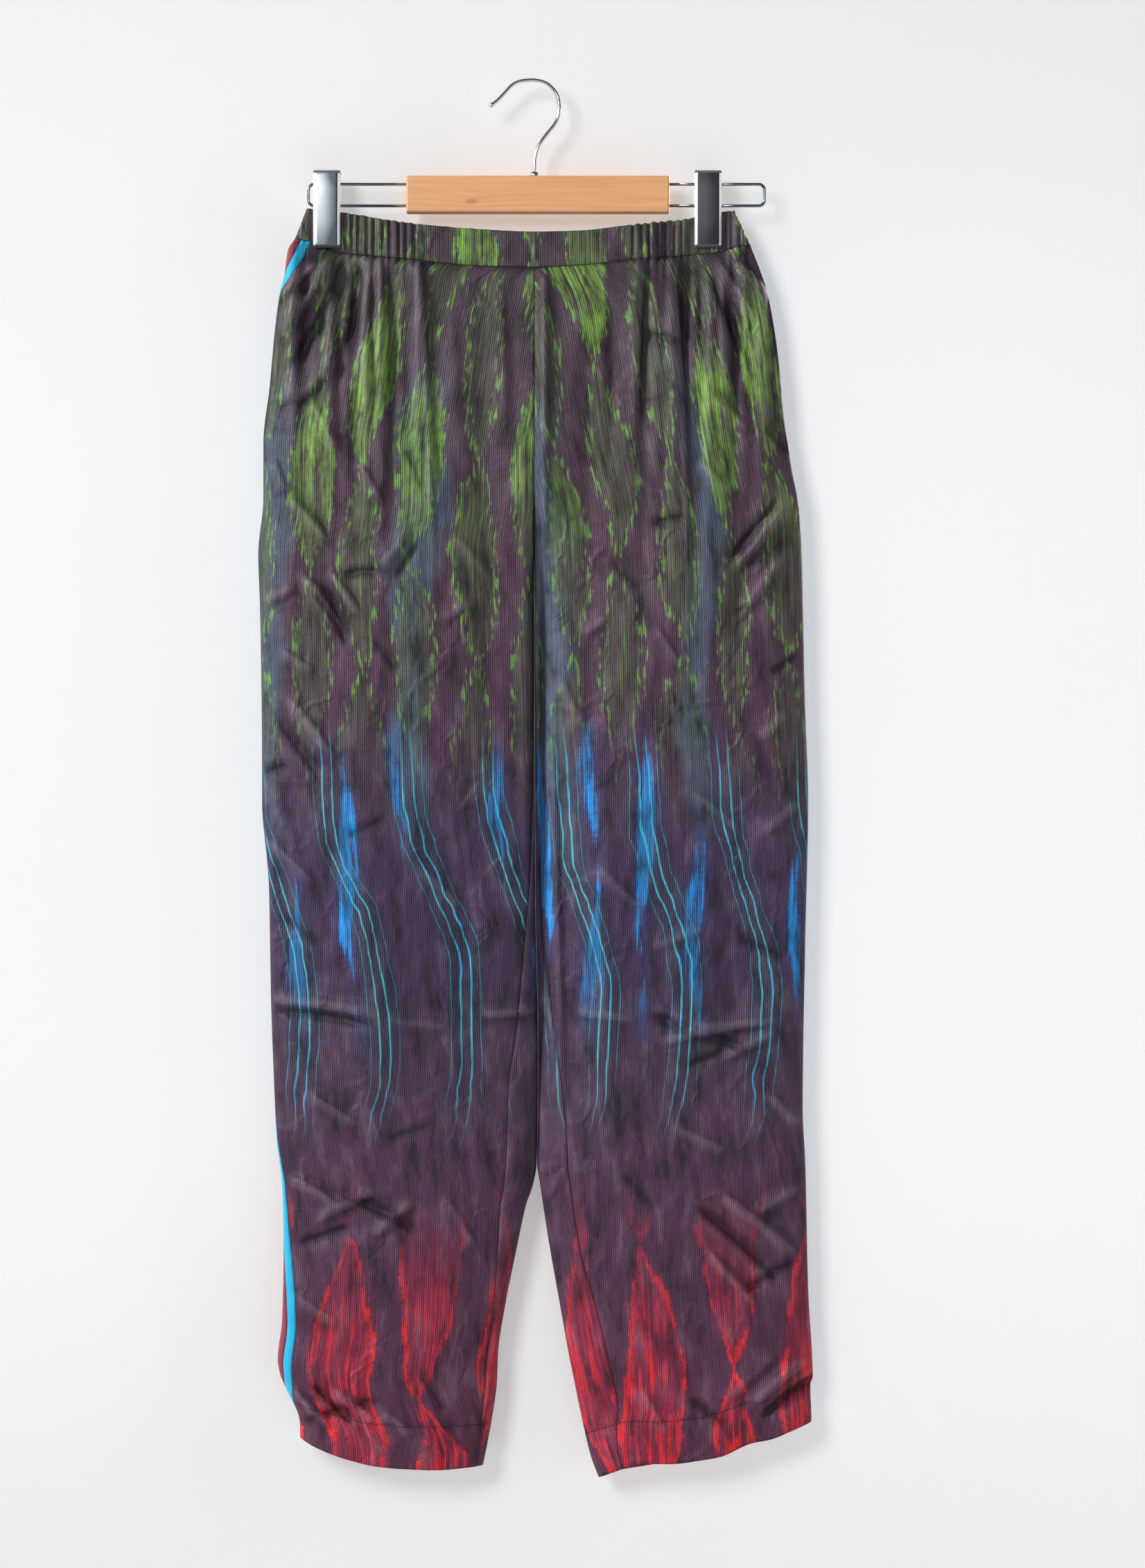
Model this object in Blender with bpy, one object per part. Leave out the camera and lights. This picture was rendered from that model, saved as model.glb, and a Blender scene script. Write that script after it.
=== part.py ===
"""Straight-leg trousers of thin crepe, hanging from a clip hanger.

Frame: metres, +Z up, +X to the viewer's right, the front of the trousers faces -Y.
The origin is the underside of the hook's bend, where a rail carries the hanger.
All tables are in millimetres. "down" is the distance below the origin, "x" the place
across, and "left" and "right" are the viewer's.
"""
import math

import bmesh
import bpy
import numpy as np
from mathutils import Matrix

MM = 0.001


def table(columns, *rows):
    """A table with named columns: {"down": array, "x": array, ...}."""
    values = np.array(rows, dtype=float)
    return dict(zip(columns.split(), values.T))


# ---------------------------------------------------------------- driving dimensions

SEAM_GAP = 0.3
PANEL_WALL = 1.3
BAND_WALL = 2.0
EDGE_ROUND = 3.6
NORMAL_REACH = 1.2
STRIPE_FRONT_WIDTH = 7.5
STRIPE_BACK_WIDTH = 12.0
BAND_SIDE_SEAM = -1.5

NOMINAL_WAIST = 140.0
NOMINAL_HEM = 1092.0
WAIST_REACH = 260.0
HEM_REACH = 150.0
CROTCH_DOWN = 407.0
CROTCH_RISE = 95.0
LENS_POWER = 2.2

CLIP_X = (-162.8, 139.4)
CLIP_SIZE = (21.5, 4.2, 61.5)
CLIP_TOP = 71.0
CLIP_GRIP = 2.5
CLIP_CHAMFER = 2.4
GRIP_REACH_IN = 50.0
GRIP_REACH_OUT = 16.0
GRIP_ROUND = 3.0
GRIP_REACH_DOWN = 100.0
GRIP_MARGIN = 1.5

BAR_SIZE = (209.0, 12.0, 29.2)
BAR_CENTRE = (4.4, 89.9)
BAR_BEVEL = 1.6
WIRE_RADIUS = 1.2
WIRE_DOWN = (81.4, 98.5)
WIRE_END_X = (-177.6, 184.2)
WIRE_CORNER = 4.5
WIRE_DEPTH_IN_BAR = 14.0
SLEEVE_LENGTH = 15.0
HOOK_RADIUS = 1.5
HOOK_BALL_RADIUS = 2.2
HOOK_DEPTH_IN_BAR = 14.0
BAR_NECK_X = 1.7
BORE_START = 2.0
ROUND_SIDES = 8
HOOK_RINGS = 28
FERRULE_RADIUS = 3.6
FERRULE_HEIGHT = 3.0

# The silhouette's outer edges, from the waistband's corners to the hem.
LEFT_EDGE = table(
    "down x",
    (99, -178.5), (125, -188.7), (133, -193.8), (155, -197), (166, -200), (199, -204.5),
    (243, -208.5), (287, -213.4), (331, -213.4), (375, -217.4), (419, -216), (529, -214.5),
    (573, -214.4), (617, -210.6), (639, -209), (727, -207.4), (793, -205), (837, -203),
    (876, -198.5), (925, -197.3), (983, -198.6), (1014, -202), (1024, -200.6), (1040, -194),
    (1058, -185.6), (1066, -184.3), (1110, -184.3))
RIGHT_EDGE = table(
    "down x",
    (101, 160), (130, 173.4), (144, 178.8), (155, 183), (177, 188.6), (221, 195.4),
    (265, 199.6), (309, 206.4), (331, 210.8), (353, 213), (397, 214.5), (485, 216.2),
    (573, 218.9), (683, 216.6), (815, 214.6), (859, 216.7), (958, 218.9), (1014, 222.2),
    (1027, 222.6), (1034, 220.6), (1063, 221.6), (1110, 221.6))

# The centre seams, and below the crotch the inner edge of each leg.
INNER_EDGE = table(
    "down left right",
    (99, 1.9, 2.3), (407, 1.4, 2.0), (650, 2.2, 2.8), (760, 4.2, 4.8), (815, 4.0, 4.8),
    (858, 3.2, 4.2), (874, 1.0, 6.0), (892, -5.0, 8.6), (925, -12.1, 13.8), (974, -22.0, 22.5),
    (1008, -27.0, 28.6), (1032, -28.0, 33.4), (1057, -31.4, 38.5), (1090, -37.4, 46.2),
    (1110, -42.0, 53.6))

# Half of the depth of the hanging cloth, front to back.
HALF_DEPTH = table(
    "down half",
    (99, 10), (128, 11.5), (160, 14.5), (220, 17.5), (300, 19.5), (400, 20), (500, 19.5),
    (650, 17.5), (800, 16), (950, 15.5), (1050, 16.5), (1110, 17.5))

# The waistband's upper edge in front and at the back, and the seam under it.
WAIST = table(
    "x top back_top seam",
    (-189, 100.8, 101.0, 125.4), (-174, 102.4, 102.4, 128.0), (-150, 105.6, 104.2, 136.6),
    (-125, 110.5, 107.4, 140.2), (-92, 115, 111.2, 143.6), (-48, 118.6, 114.4, 148),
    (2, 120.7, 116.9, 149.3), (42, 119.8, 117.1, 147.3), (73, 116.6, 114.6, 143.8),
    (106, 112.5, 111.2, 140.6), (134, 109, 108.6, 137.2), (150, 105.8, 106, 135.2),
    (161, 103.9, 104, 132.6), (173.5, 102.4, 102.4, 130.4))

# The hems: "across" runs from the leg's outer edge, 0, to its inner edge, 1.
LEFT_HEM = table(
    "across front back",
    (0, 1075.3, 1075.3), (0.09, 1082, 1078), (0.24, 1089.6, 1084), (0.41, 1095.6, 1090),
    (0.58, 1097.8, 1093), (0.78, 1098.9, 1095.5), (1, 1097.3, 1097.3))
RIGHT_HEM = table(
    "across front back",
    (0, 1062.6, 1062.6), (0.1, 1069.2, 1066), (0.2, 1075.3, 1073), (0.29, 1078, 1078),
    (0.43, 1087.9, 1087), (0.53, 1091.2, 1093.4), (0.67, 1094, 1098.4), (0.8, 1094.2, 1102),
    (0.89, 1098.9, 1104), (1, 1107.2, 1107.2))

# Where the front panel's side seam runs: the length of cloth from the outer edge, towards
# the front, or negative where the seam has turned to the back.
SIDE_SEAM = table(
    "down left right",
    (99, 15, -3), (126, 16, -3), (134, 17, -3), (146, 13, -3), (158, 8, -3.5),
    (170, 3.5, -4), (182, 0, -4), (215, -4, -4.5), (300, -5, -5), (740, -4, -5),
    (799, 0.5, -5), (911, 8.5, -4.5), (961, 14, -4), (1000, 16.5, -3), (1024, 15, -3),
    (1040, 8, -3), (1060, 0, -3), (1110, -3, -3))

# Where the inseam runs, as a length of cloth from the leg's inner edge onto the front.
INSEAM = table(
    "down left right",
    (406, 0.8, 0.8), (520, 3, 3), (623, 7, 6.5), (705, 15.5, 11), (755, 21, 17), (800, 27, 24),
    (860, 28, 28.5), (911, 21, 28), (991, 12, 34), (1047, 13.5, 35), (1092, 9.5, 26),
    (1110, 8.5, 24))

# Rows of the panels' grids: distance below the hook along the middle of each half.
TOP_ROWS = (140.0, 150.0, 162.0, 178.0, 198.0)
BODY_ROWS = (230, 266, 304, 342, 378, 407, 436, 480, 530, 585, 640, 692, 732, 772,
             822, 870, 915, 955, 995, 1022, 1042, 1066, 1092)
TOP_HALVINGS = (2, 2, 1, 1, 0)
STRIPE_ROWS = TOP_ROWS + BODY_ROWS
# The waistband's rows, from its top, 1, to its seam, 0, which it stays just above.
BAND_ROWS = (1.0, 0.5, 0.0)
BAND_SEAM_CLIMB = 0.012
BAND_COLUMNS = 62
STRIPE_COLUMNS = (2, 3)
PANEL_COLUMNS = 19
END_CROWDING = 0.62
END_CROWDING_POWER = 4
# The back panel's column that follows the turn between back and centre seam.
TURN_COLUMN = 2
TURN_STRETCH = 9.0
# Sections are traced in fine steps, a little past the outer and the inner edge.
TRACE_STEPS = 420
FRONT_TRACE_START = -1.7
BACK_TRACE_PAST = 0.5
WRAP_STEPS = 120
WRAP_TRACE_START = 1.3

# The waist's gathers. The front is flat between GATHER_FLAT, and the back gathers all across.
GATHER_FLAT = (-86.0, 76.0)
GATHER_FLAT_FADE = 12.0
GATHER_PITCH = 9.6
GATHER_WAVER = (1.3, 17.0)
GATHER_HEIGHT = 1.15
GATHER_FADE = 26.0
FULLNESS_PITCH = 33.0
FULLNESS_WAVER = (0.9, 41.0)
FULLNESS_HEIGHT = 2.8
FULLNESS_FADE = 75.0
GATHER_BACK_SHIFT = 2.0
FULLNESS_BACK_SHIFT = 1.0

# Folds fade out over these shares of their length, and near the cloth's thin edges.
FOLD_START_TAPER = 0.2
FOLD_END_TAPER = 0.35
CALM_DEPTH = 2.5
CALM_REACH = 7.5

# The largest folds: soft ridges, or troughs where the height is negative, from one end to
# the other. The first rows are the four waist pleats, each a ridge with a trough beside it.
FRONT_FOLDS = table(
    "x1 down1 x2 down2 width height",
    (-91, 90, -79, 450, 6.5, -3.6), (-101, 90, -90, 420, 8.5, 3.4),
    (-121, 90, -121, 320, 6, -2.4), (-130, 100, -130, 300, 7, 2.2),
    (81, 90, 79, 300, 6, -2.4), (90, 100, 88, 280, 7, 2.2),
    (114, 90, 118, 500, 6.5, -3.6), (124, 90, 128, 470, 8.5, 3.4),
    (7, 170, 8, 430, 6, 2.6), (17, 220, 15, 430, 8, -4.2),
    (-152, 120, -206, 205, 9, 3.0), (-140, 128, -204, 250, 9, -2.4),
    (-42, 200, -36, 520, 13, -2.6), (44, 210, 50, 560, 13, -2.4),
    (-170, 330, -150, 470, 12, -2.4), (172, 300, 160, 460, 12, -2.2),
    (-150, 480, -120, 900, 20, 2.2), (-60, 520, -48, 900, 16, -2.2),
    (60, 540, 66, 900, 18, 2.0), (150, 520, 160, 860, 20, -2.2),
    (-214, 727, -118, 741, 9, 2.2), (-40, 741, 10, 737, 8, 1.4),
    (84, 735, 176, 772, 10, -2.4), (100, 762, 190, 745, 9, 1.8),
    (-196, 880, -90, 912, 12, -2.4), (-186, 915, -110, 870, 11, 2.0),
    (120, 900, 205, 955, 12, -2.2), (150, 940, 218, 905, 12, 2.2),
    (-190, 1062, -110, 1040, 9, -2.6), (-188, 1042, -118, 1068, 10, 2.2),
    (178, 1064, 226, 1022, 9, -3.4), (160, 1050, 215, 985, 12, 2.6))
BACK_FOLDS = table(
    "x1 down1 x2 down2 width height",
    (-150, 100, -140, 420, 11, 2.6), (-112, 100, -104, 460, 10, -2.6),
    (-70, 100, -66, 380, 11, 2.6), (-30, 100, -26, 300, 9, -2.2),
    (34, 100, 30, 320, 10, 2.2), (76, 100, 72, 420, 11, -2.6),
    (116, 100, 112, 470, 11, 2.8), (156, 110, 160, 400, 10, -2.4),
    (-30, 330, -110, 440, 14, -2.8), (34, 335, 112, 450, 14, -2.8),
    (-140, 460, -112, 880, 20, -2.2), (-52, 500, -60, 860, 16, 2.2),
    (62, 520, 70, 900, 17, -2.2), (150, 500, 142, 880, 20, 2.2),
    (-205, 735, -60, 744, 9, 1.8), (70, 748, 205, 738, 9, 1.8),
    (-180, 900, -70, 940, 13, -2.4), (90, 935, 205, 900, 13, -2.4),
    (-178, 1060, -90, 1030, 11, 2.2), (96, 1040, 200, 1066, 11, 2.2))

# The hook's wire, from the ball at its tip, round the bend and down the neck.
HOOK_PATH = table(
    "x down",
    (-32.2, 18.4), (-28.5, 15.6), (-25, 12.2), (-20.4, 7.2), (-15, 1.8), (-8.8, -0.7),
    (0, -1.5), (9.3, 0.2), (16.4, 5.4), (20.4, 12.2), (21.6, 20.8), (20.4, 28.6),
    (18.1, 33.2), (12.8, 39.8), (8, 46.2), (4.9, 51.4), (3, 57.4), (1.9, 65), (1.7, 74))


# ---------------------------------------------------------------- small helpers


def smooth_curve(at, knots, values):
    """A smooth curve through the table's points that never overshoots them."""
    at = np.clip(at, knots[0], knots[-1])
    chord = np.diff(values) / np.diff(knots)
    product = chord[:-1] * chord[1:]
    total = chord[:-1] + chord[1:]
    inner = np.where(product > 0, 2 * product / np.where(product > 0, total, 1), 0)
    slope = np.concatenate([chord[:1], inner, chord[-1:]])
    i = np.clip(np.searchsorted(knots, at, side="right") - 1, 0, len(knots) - 2)
    step = knots[i + 1] - knots[i]
    t = (at - knots[i]) / step
    rise = t * t * (3 - 2 * t)
    start = t * (1 - t) ** 2 * step * slope[i]
    end = t * t * (t - 1) * step * slope[i + 1]
    return values[i] * (1 - rise) + values[i + 1] * rise + start + end


def smooth_step(t):
    """0 below 0, 1 above 1, and an even S between."""
    t = np.clip(t, 0, 1)
    return t * t * (3 - 2 * t)


def quarter_round(distance, radius):
    """Height of a quarter circle, 0 to 1, over the distance from its foot."""
    t = 1 - np.clip(distance / radius, 0, 1)
    return np.sqrt(1 - t * t)


def material(name, colour, roughness, metallic=0.0):
    """A Principled finish. The colour is sRGB, 0 to 255."""
    made = bpy.data.materials.new(name)
    made.use_nodes = True
    shader = made.node_tree.nodes["Principled BSDF"]
    linear = [(channel / 255) ** 2.2 for channel in colour]
    shader.inputs["Base Color"].default_value = (*linear, 1)
    shader.inputs["Roughness"].default_value = roughness
    shader.inputs["Metallic"].default_value = metallic
    made.diffuse_color = (*linear, 1)
    return made


def add_object(name, points, faces, finish):
    """One closed body from points in millimetres."""
    mesh = bpy.data.meshes.new(name)
    mesh.from_pydata((np.asarray(points) * MM).tolist(), [], faces)
    mesh.materials.append(finish)
    body = bmesh.new()
    body.from_mesh(mesh)
    bmesh.ops.recalc_face_normals(body, faces=body.faces)
    body.to_mesh(mesh)
    body.free()
    mesh.shade_smooth()
    mesh.set_sharp_from_angle(angle=math.radians(35))
    made = bpy.data.objects.new(name, mesh)
    bpy.context.scene.collection.objects.link(made)
    return made


# ---------------------------------------------------------------- the form of the cloth


def outer_edge(side, down):
    """The silhouette's outer edge of one half."""
    edge = LEFT_EDGE if side == "left" else RIGHT_EDGE
    return smooth_curve(down, edge["down"], edge["x"])


def inner_edge(side, down):
    """The centre seam, and below the crotch the leg's inner edge."""
    return smooth_curve(down, INNER_EDGE["down"], INNER_EDGE[side])


def waist_line(x, line):
    """Distance down of the waistband's top or of the seam under it."""
    return smooth_curve(x, WAIST["x"], WAIST[line])


def row_down(side, across, row, on_back):
    """Distance down of a point of a row. Rows from 0 to -1 climb the waistband from its seam
    to its top. Below, a row is a height that bends with the waist seam near the top and with
    the hem near the bottom."""
    start = outer_edge(side, WAIST["seam"][0 if side == "left" else -1])
    seam_x = start + (inner_edge(side, NOMINAL_WAIST) - start) * across
    seam = waist_line(seam_x, "seam")
    hem_table = LEFT_HEM if side == "left" else RIGHT_HEM
    hem_front = smooth_curve(across, hem_table["across"], hem_table["front"])
    hem_back = smooth_curve(across, hem_table["across"], hem_table["back"])
    hem = np.where(on_back, hem_back, hem_front)
    near_waist = 1 - smooth_step((row - NOMINAL_WAIST) / WAIST_REACH)
    near_hem = 1 - smooth_step((NOMINAL_HEM - row) / HEM_REACH)
    panel = row + near_waist * (seam - NOMINAL_WAIST) + near_hem * (hem - NOMINAL_HEM)
    top = np.where(on_back, waist_line(seam_x, "back_top"), waist_line(seam_x, "top"))
    climb = np.clip(-row, 0, 1)
    return np.where(row > 0, panel, seam + (top - seam) * climb)


def centre_fill(down):
    """1 where the halves join flat at the centre seam, falling to 0 at the crotch."""
    return smooth_step((CROTCH_DOWN - down) / CROTCH_RISE)


def grip(x, down):
    """1 under a clip's jaws, fading across and down the cloth."""
    below = smooth_step((down - waist_line(x, "seam") - 1) / GRIP_REACH_DOWN)
    held = np.zeros_like(x)
    for clip_x in CLIP_X:
        away = np.abs(x - clip_x) - CLIP_SIZE[0] / 2 - GRIP_MARGIN
        reach = np.where(np.abs(x) > abs(clip_x), GRIP_REACH_OUT, GRIP_REACH_IN)
        held = np.maximum(held, 1 - smooth_step(away / reach))
    return held * (1 - below)


def half_section(side, turn, row, on_back):
    """One half's closed section. turn is an angle: 0 at the outer edge, pi at the inner edge,
    the front between them and the back beyond. Returns x, y and down in millimetres: a flat
    lens with rounded edges, held thin by the clips."""
    across = (1 - np.cos(turn)) / 2
    down = row_down(side, across, row, on_back)
    outer = outer_edge(side, row_down(side, np.zeros_like(across), row, on_back))
    inner = inner_edge(side, row_down(side, np.ones_like(across), row, on_back))
    x = outer + (inner - outer) * across
    fill = centre_fill(down)
    lens = (1 - np.abs(2 * across - 1) ** LENS_POWER) ** (1 / LENS_POWER)
    lens = np.where(across > 0.5, 1 - (1 - lens) * (1 - fill), lens)
    outer_round = quarter_round(np.abs(x - outer), EDGE_ROUND)
    inner_round = 1 - (1 - quarter_round(np.abs(x - inner), EDGE_ROUND)) * (1 - fill)
    edge = EDGE_ROUND * np.minimum(outer_round, inner_round)
    half = smooth_curve(down, HALF_DEPTH["down"], HALF_DEPTH["half"])
    depth = ((half * lens) ** 3 + edge ** 3) ** (1 / 3)
    held = grip(x, down)
    depth = depth * (1 - held) + CLIP_GRIP * held * quarter_round(np.abs(x - outer), GRIP_ROUND)
    return x, np.where(on_back, depth, -depth), down


def fold_height(x, down, folds):
    """Sum of the table's folds: each is a soft ridge along a line, tapering to its ends."""
    total = np.zeros_like(x)
    for i in range(len(folds["x1"])):
        start = np.array((folds["x1"][i], folds["down1"][i]))
        along = np.array((folds["x2"][i], folds["down2"][i])) - start
        length = math.hypot(*along)
        unit = along / length
        run = ((x - start[0]) * unit[0] + (down - start[1]) * unit[1]) / length
        aside = (x - start[0]) * unit[1] - (down - start[1]) * unit[0]
        taper = smooth_step(run / FOLD_START_TAPER) * smooth_step((1 - run) / FOLD_END_TAPER)
        total += folds["height"][i] * taper * np.exp(-(aside / folds["width"][i]) ** 2)
    return total


def waves(x, pitch, waver, shift):
    """Waves whose spacing wavers about the pitch. waver is how far and over what length."""
    strength, reach = waver
    return np.sin(2 * math.pi * x / pitch + strength * np.sin(x / reach) + shift)


def gather_height(x, down, on_back):
    """The waist's gathers: close waves at the band, with wider ones hanging below them."""
    start, end = GATHER_FLAT
    flat = smooth_step((x - start) / GATHER_FLAT_FADE) * smooth_step((end - x) / GATHER_FLAT_FADE)
    share = np.where(on_back, 1.0, 1 - flat)
    below = np.maximum(down - waist_line(x, "seam"), 0)
    close = waves(x, GATHER_PITCH, GATHER_WAVER, np.where(on_back, GATHER_BACK_SHIFT, 0))
    wide = waves(x, FULLNESS_PITCH, FULLNESS_WAVER, np.where(on_back, FULLNESS_BACK_SHIFT, 0))
    hang = below / FULLNESS_FADE * np.exp(1 - below / FULLNESS_FADE)
    return share * (GATHER_HEIGHT * close * np.exp(-below / GATHER_FADE)
                    + FULLNESS_HEIGHT * wide * hang)


def relief(x, y, down, on_back):
    """How far the cloth stands out from the plain section. It fades out round the edges."""
    folds = np.where(on_back, fold_height(x, down, BACK_FOLDS), fold_height(x, down, FRONT_FOLDS))
    calm = smooth_step((np.abs(y) - CALM_DEPTH) / CALM_REACH) * (1 - grip(x, down))
    return calm * (folds + gather_height(x, down, on_back))


FRONT_TURNS = np.linspace(FRONT_TRACE_START, math.pi, TRACE_STEPS)
WRAP_TURNS = np.linspace(math.pi - WRAP_TRACE_START, math.pi, WRAP_STEPS)
BACK_TURNS = np.linspace(math.pi, 2 * math.pi + BACK_TRACE_PAST, TRACE_STEPS)


def trace_front(side, row):
    """A row's section from the back, round the outer edge and over the front. The length of
    cloth s starts at the outer edge."""
    x, y, down = half_section(side, FRONT_TURNS, row, FRONT_TURNS < 0)
    s = np.concatenate([[0], np.cumsum(np.hypot(np.diff(x), np.diff(y)))])
    s -= np.interp(0, FRONT_TURNS, s)
    return {"s": s, "x": x, "y": y, "down": down, "back": (FRONT_TURNS < 0).astype(float)}


def trace_back(side, row):
    """A row's section over the back, from the centre seam to the outer edge. In the legs it
    first comes round the inner edge from the front. s starts at the inner edge."""
    in_leg = row >= CROTCH_DOWN
    turns = np.concatenate([WRAP_TURNS, BACK_TURNS]) if in_leg else BACK_TURNS
    wrap = len(WRAP_TURNS) if in_leg else 0
    on_back = (np.arange(len(turns)) >= wrap) & (turns < 2 * math.pi)
    x, y, down = half_section(side, turns, row, on_back)
    s = np.concatenate([[0], np.cumsum(np.hypot(np.diff(x), np.diff(y)))])
    s -= s[wrap]
    outer_s = np.interp(2 * math.pi, turns[wrap:], s[wrap:])
    return {"s": s, "x": x, "y": y, "down": down, "back": on_back.astype(float),
            "outer_s": outer_s}


def lay_row(side, traced, s, wall):
    """Outer and inner points of a row at lengths s. The normal is the section's own, taken
    over a short reach, so both pieces at a seam share it."""
    known = traced["s"]
    x, y, down, back = (np.interp(s, known, traced[key]) for key in ("x", "y", "down", "back"))
    after = np.minimum(s + NORMAL_REACH, known[-1])
    before = np.maximum(s - NORMAL_REACH, known[0])
    run_x = np.interp(after, known, traced["x"]) - np.interp(before, known, traced["x"])
    run_y = np.interp(after, known, traced["y"]) - np.interp(before, known, traced["y"])
    facing = (1 if side == "left" else -1) / np.hypot(run_x, run_y)
    normal = np.stack([run_y * facing, -run_x * facing, np.zeros_like(x)], axis=1)
    y = y + np.where(back > 0.5, 1, -1) * relief(x, y, down, back > 0.5)
    outer = np.stack([x, y, -down], axis=1)
    return outer, outer - wall * normal


def spread(start, finish, shares):
    """Places between start and finish at the given shares of the way."""
    return start + (finish - start) * shares


def seam_places(side, row):
    """Lengths of cloth from the outer edge to the side seam, and from the inner edge to the
    inseam, at a row."""
    edge_down = row_down(side, 0.0, row, False)
    inner_down = row_down(side, 1.0, row, False)
    side_seam = smooth_curve(edge_down, SIDE_SEAM["down"], SIDE_SEAM[side])
    inseam = smooth_curve(inner_down, INSEAM["down"], INSEAM[side]) if row >= CROTCH_DOWN else 0
    return side_seam, inseam


def front_row(side, row, shares):
    """The front panel's row, from the side seam to the centre seam or the inseam."""
    side_seam, inseam = seam_places(side, row)
    traced = trace_front(side, row)
    finish = traced["s"][-1] - inseam - SEAM_GAP / 2
    s = spread(side_seam + SEAM_GAP / 2, finish, shares)
    return lay_row(side, traced, s, PANEL_WALL)


def back_row(side, row, shares):
    """The back panel's row, from the centre seam or the inseam to the side stripes."""
    side_seam, inseam = seam_places(side, row)
    traced = trace_back(side, row)
    stripes = STRIPE_FRONT_WIDTH + STRIPE_BACK_WIDTH
    finish = traced["outer_s"] + side_seam - stripes - SEAM_GAP / 2
    start = SEAM_GAP / 2 - inseam
    turn_share = shares[TURN_COLUMN * (len(shares) - 1) // PANEL_COLUMNS]
    turn_s = TURN_STRETCH * smooth_step((CROTCH_DOWN - row) / CROTCH_RISE)
    before = spread(start, turn_s, shares[shares < turn_share] / turn_share)
    after = spread(turn_s, finish, (shares[shares >= turn_share] - turn_share) / (1 - turn_share))
    return lay_row(side, traced, np.concatenate([before, after]), PANEL_WALL)


def stripe_row(side, row, near, far, shares):
    """A side stripe's row: the strip between two distances behind the front panel's seam."""
    side_seam, _ = seam_places(side, row)
    traced = trace_front(side, row)
    s = spread(side_seam - far + SEAM_GAP / 2, side_seam - near - SEAM_GAP / 2, shares)
    return lay_row(side, traced, s, PANEL_WALL)


def band_row(climb, on_back, shares):
    """The waistband's row, right across one face, from its left end to its right end."""
    row = -max(climb, BAND_SEAM_CLIMB)
    halves = []
    for side in ("left", "right"):
        if on_back:
            traced = trace_back(side, row)
            end = traced["outer_s"] + BAND_SIDE_SEAM - SEAM_GAP / 2
            outer, inner = lay_row(side, traced, spread(end, 0, shares), BAND_WALL)
        else:
            traced = trace_front(side, row)
            start = BAND_SIDE_SEAM + SEAM_GAP / 2
            outer, inner = lay_row(side, traced, spread(start, traced["s"][-1], shares), BAND_WALL)
        halves.append((outer, inner))
    left, right = halves
    outer = np.concatenate([left[0][:-1], right[0][::-1]])
    inner = np.concatenate([left[1][:-1], right[1][::-1]])
    return outer, inner


# ---------------------------------------------------------------- walls from rows


def strip_faces(above, below):
    """Triangles between two rows of point numbers, equal in count or with twice the cells
    above."""
    faces = []
    if len(above) == len(below):
        for j in range(len(above) - 1):
            faces.append((above[j], below[j], below[j + 1]))
            faces.append((above[j], below[j + 1], above[j + 1]))
        return faces
    for j in range(len(below) - 1):
        left, middle, right = above[2 * j], above[2 * j + 1], above[2 * j + 2]
        faces.append((left, below[j], middle))
        faces.append((middle, below[j], below[j + 1]))
        faces.append((middle, below[j + 1], right))
    return faces


def add_wall(name, rows, finish):
    """A closed cloth wall from rows of (outer points, inner points), top row first."""
    points = []
    outer_rows = []
    inner_rows = []
    for outer, inner in rows:
        for stored, side_points in ((outer_rows, outer), (inner_rows, inner)):
            first = sum(len(part) for part in points)
            points.append(side_points)
            stored.append(list(range(first, first + len(side_points))))
    faces = []
    for i in range(len(rows) - 1):
        faces += strip_faces(outer_rows[i], outer_rows[i + 1])
        faces += [face[::-1] for face in strip_faces(inner_rows[i], inner_rows[i + 1])]
    for end in (0, -1):
        faces += strip_faces(inner_rows[end], outer_rows[end])
        faces += strip_faces([row[end] for row in inner_rows], [row[end] for row in outer_rows])
    return add_object(name, np.concatenate(points), faces, finish)


def column_shares(count):
    """Places of a row's points, 0 to 1, closer together near both ends."""
    middle = (np.arange(count) + 0.5) / count
    weight = 1 - END_CROWDING * np.abs(2 * middle - 1) ** END_CROWDING_POWER
    return np.concatenate([[0], np.cumsum(weight)]) / weight.sum()


def halved(shares, times):
    """The row's places with each cell cut in two, a number of times."""
    for _ in range(times):
        middles = (shares[:-1] + shares[1:]) / 2
        shares = np.sort(np.concatenate([shares, middles]))
    return shares


def panel_rows(side, row_points):
    """All rows of a panel: fine at the gathers, with half as many points from a few rows on."""
    base = column_shares(PANEL_COLUMNS)
    rows = []
    for i, row in enumerate(TOP_ROWS):
        rows.append(row_points(side, row, halved(base, TOP_HALVINGS[i])))
    for row in BODY_ROWS:
        rows.append(row_points(side, float(row), base))
    return rows


def add_panels(finish):
    """Front and back panels of both halves."""
    for side in ("left", "right"):
        add_wall("front_" + side, panel_rows(side, front_row), finish)
        add_wall("back_" + side, panel_rows(side, back_row), finish)


def add_stripes(front_finish, back_finish):
    """The two side stripes of each leg, from the waistband to the hem."""
    middle = STRIPE_FRONT_WIDTH
    far_edge = STRIPE_FRONT_WIDTH + STRIPE_BACK_WIDTH
    strips = (("stripe_front_", 0, middle, STRIPE_COLUMNS[0], front_finish),
              ("stripe_back_", middle, far_edge, STRIPE_COLUMNS[1], back_finish))
    for side in ("left", "right"):
        for name, near, far, columns, finish in strips:
            shares = np.linspace(0, 1, columns + 1)
            rows = [stripe_row(side, float(row), near, far, shares) for row in STRIPE_ROWS]
            add_wall(name + side, rows, finish)


def add_waistband(finish):
    """The waistband's front, flat in the middle, and its gathered back."""
    shares = np.linspace(0, 1, BAND_COLUMNS + 1)
    for name, on_back in (("waistband_front", False), ("waistband_back", True)):
        rows = [band_row(climb, on_back, shares) for climb in BAND_ROWS]
        add_wall(name, rows, finish)


# ---------------------------------------------------------------- the hanger


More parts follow.
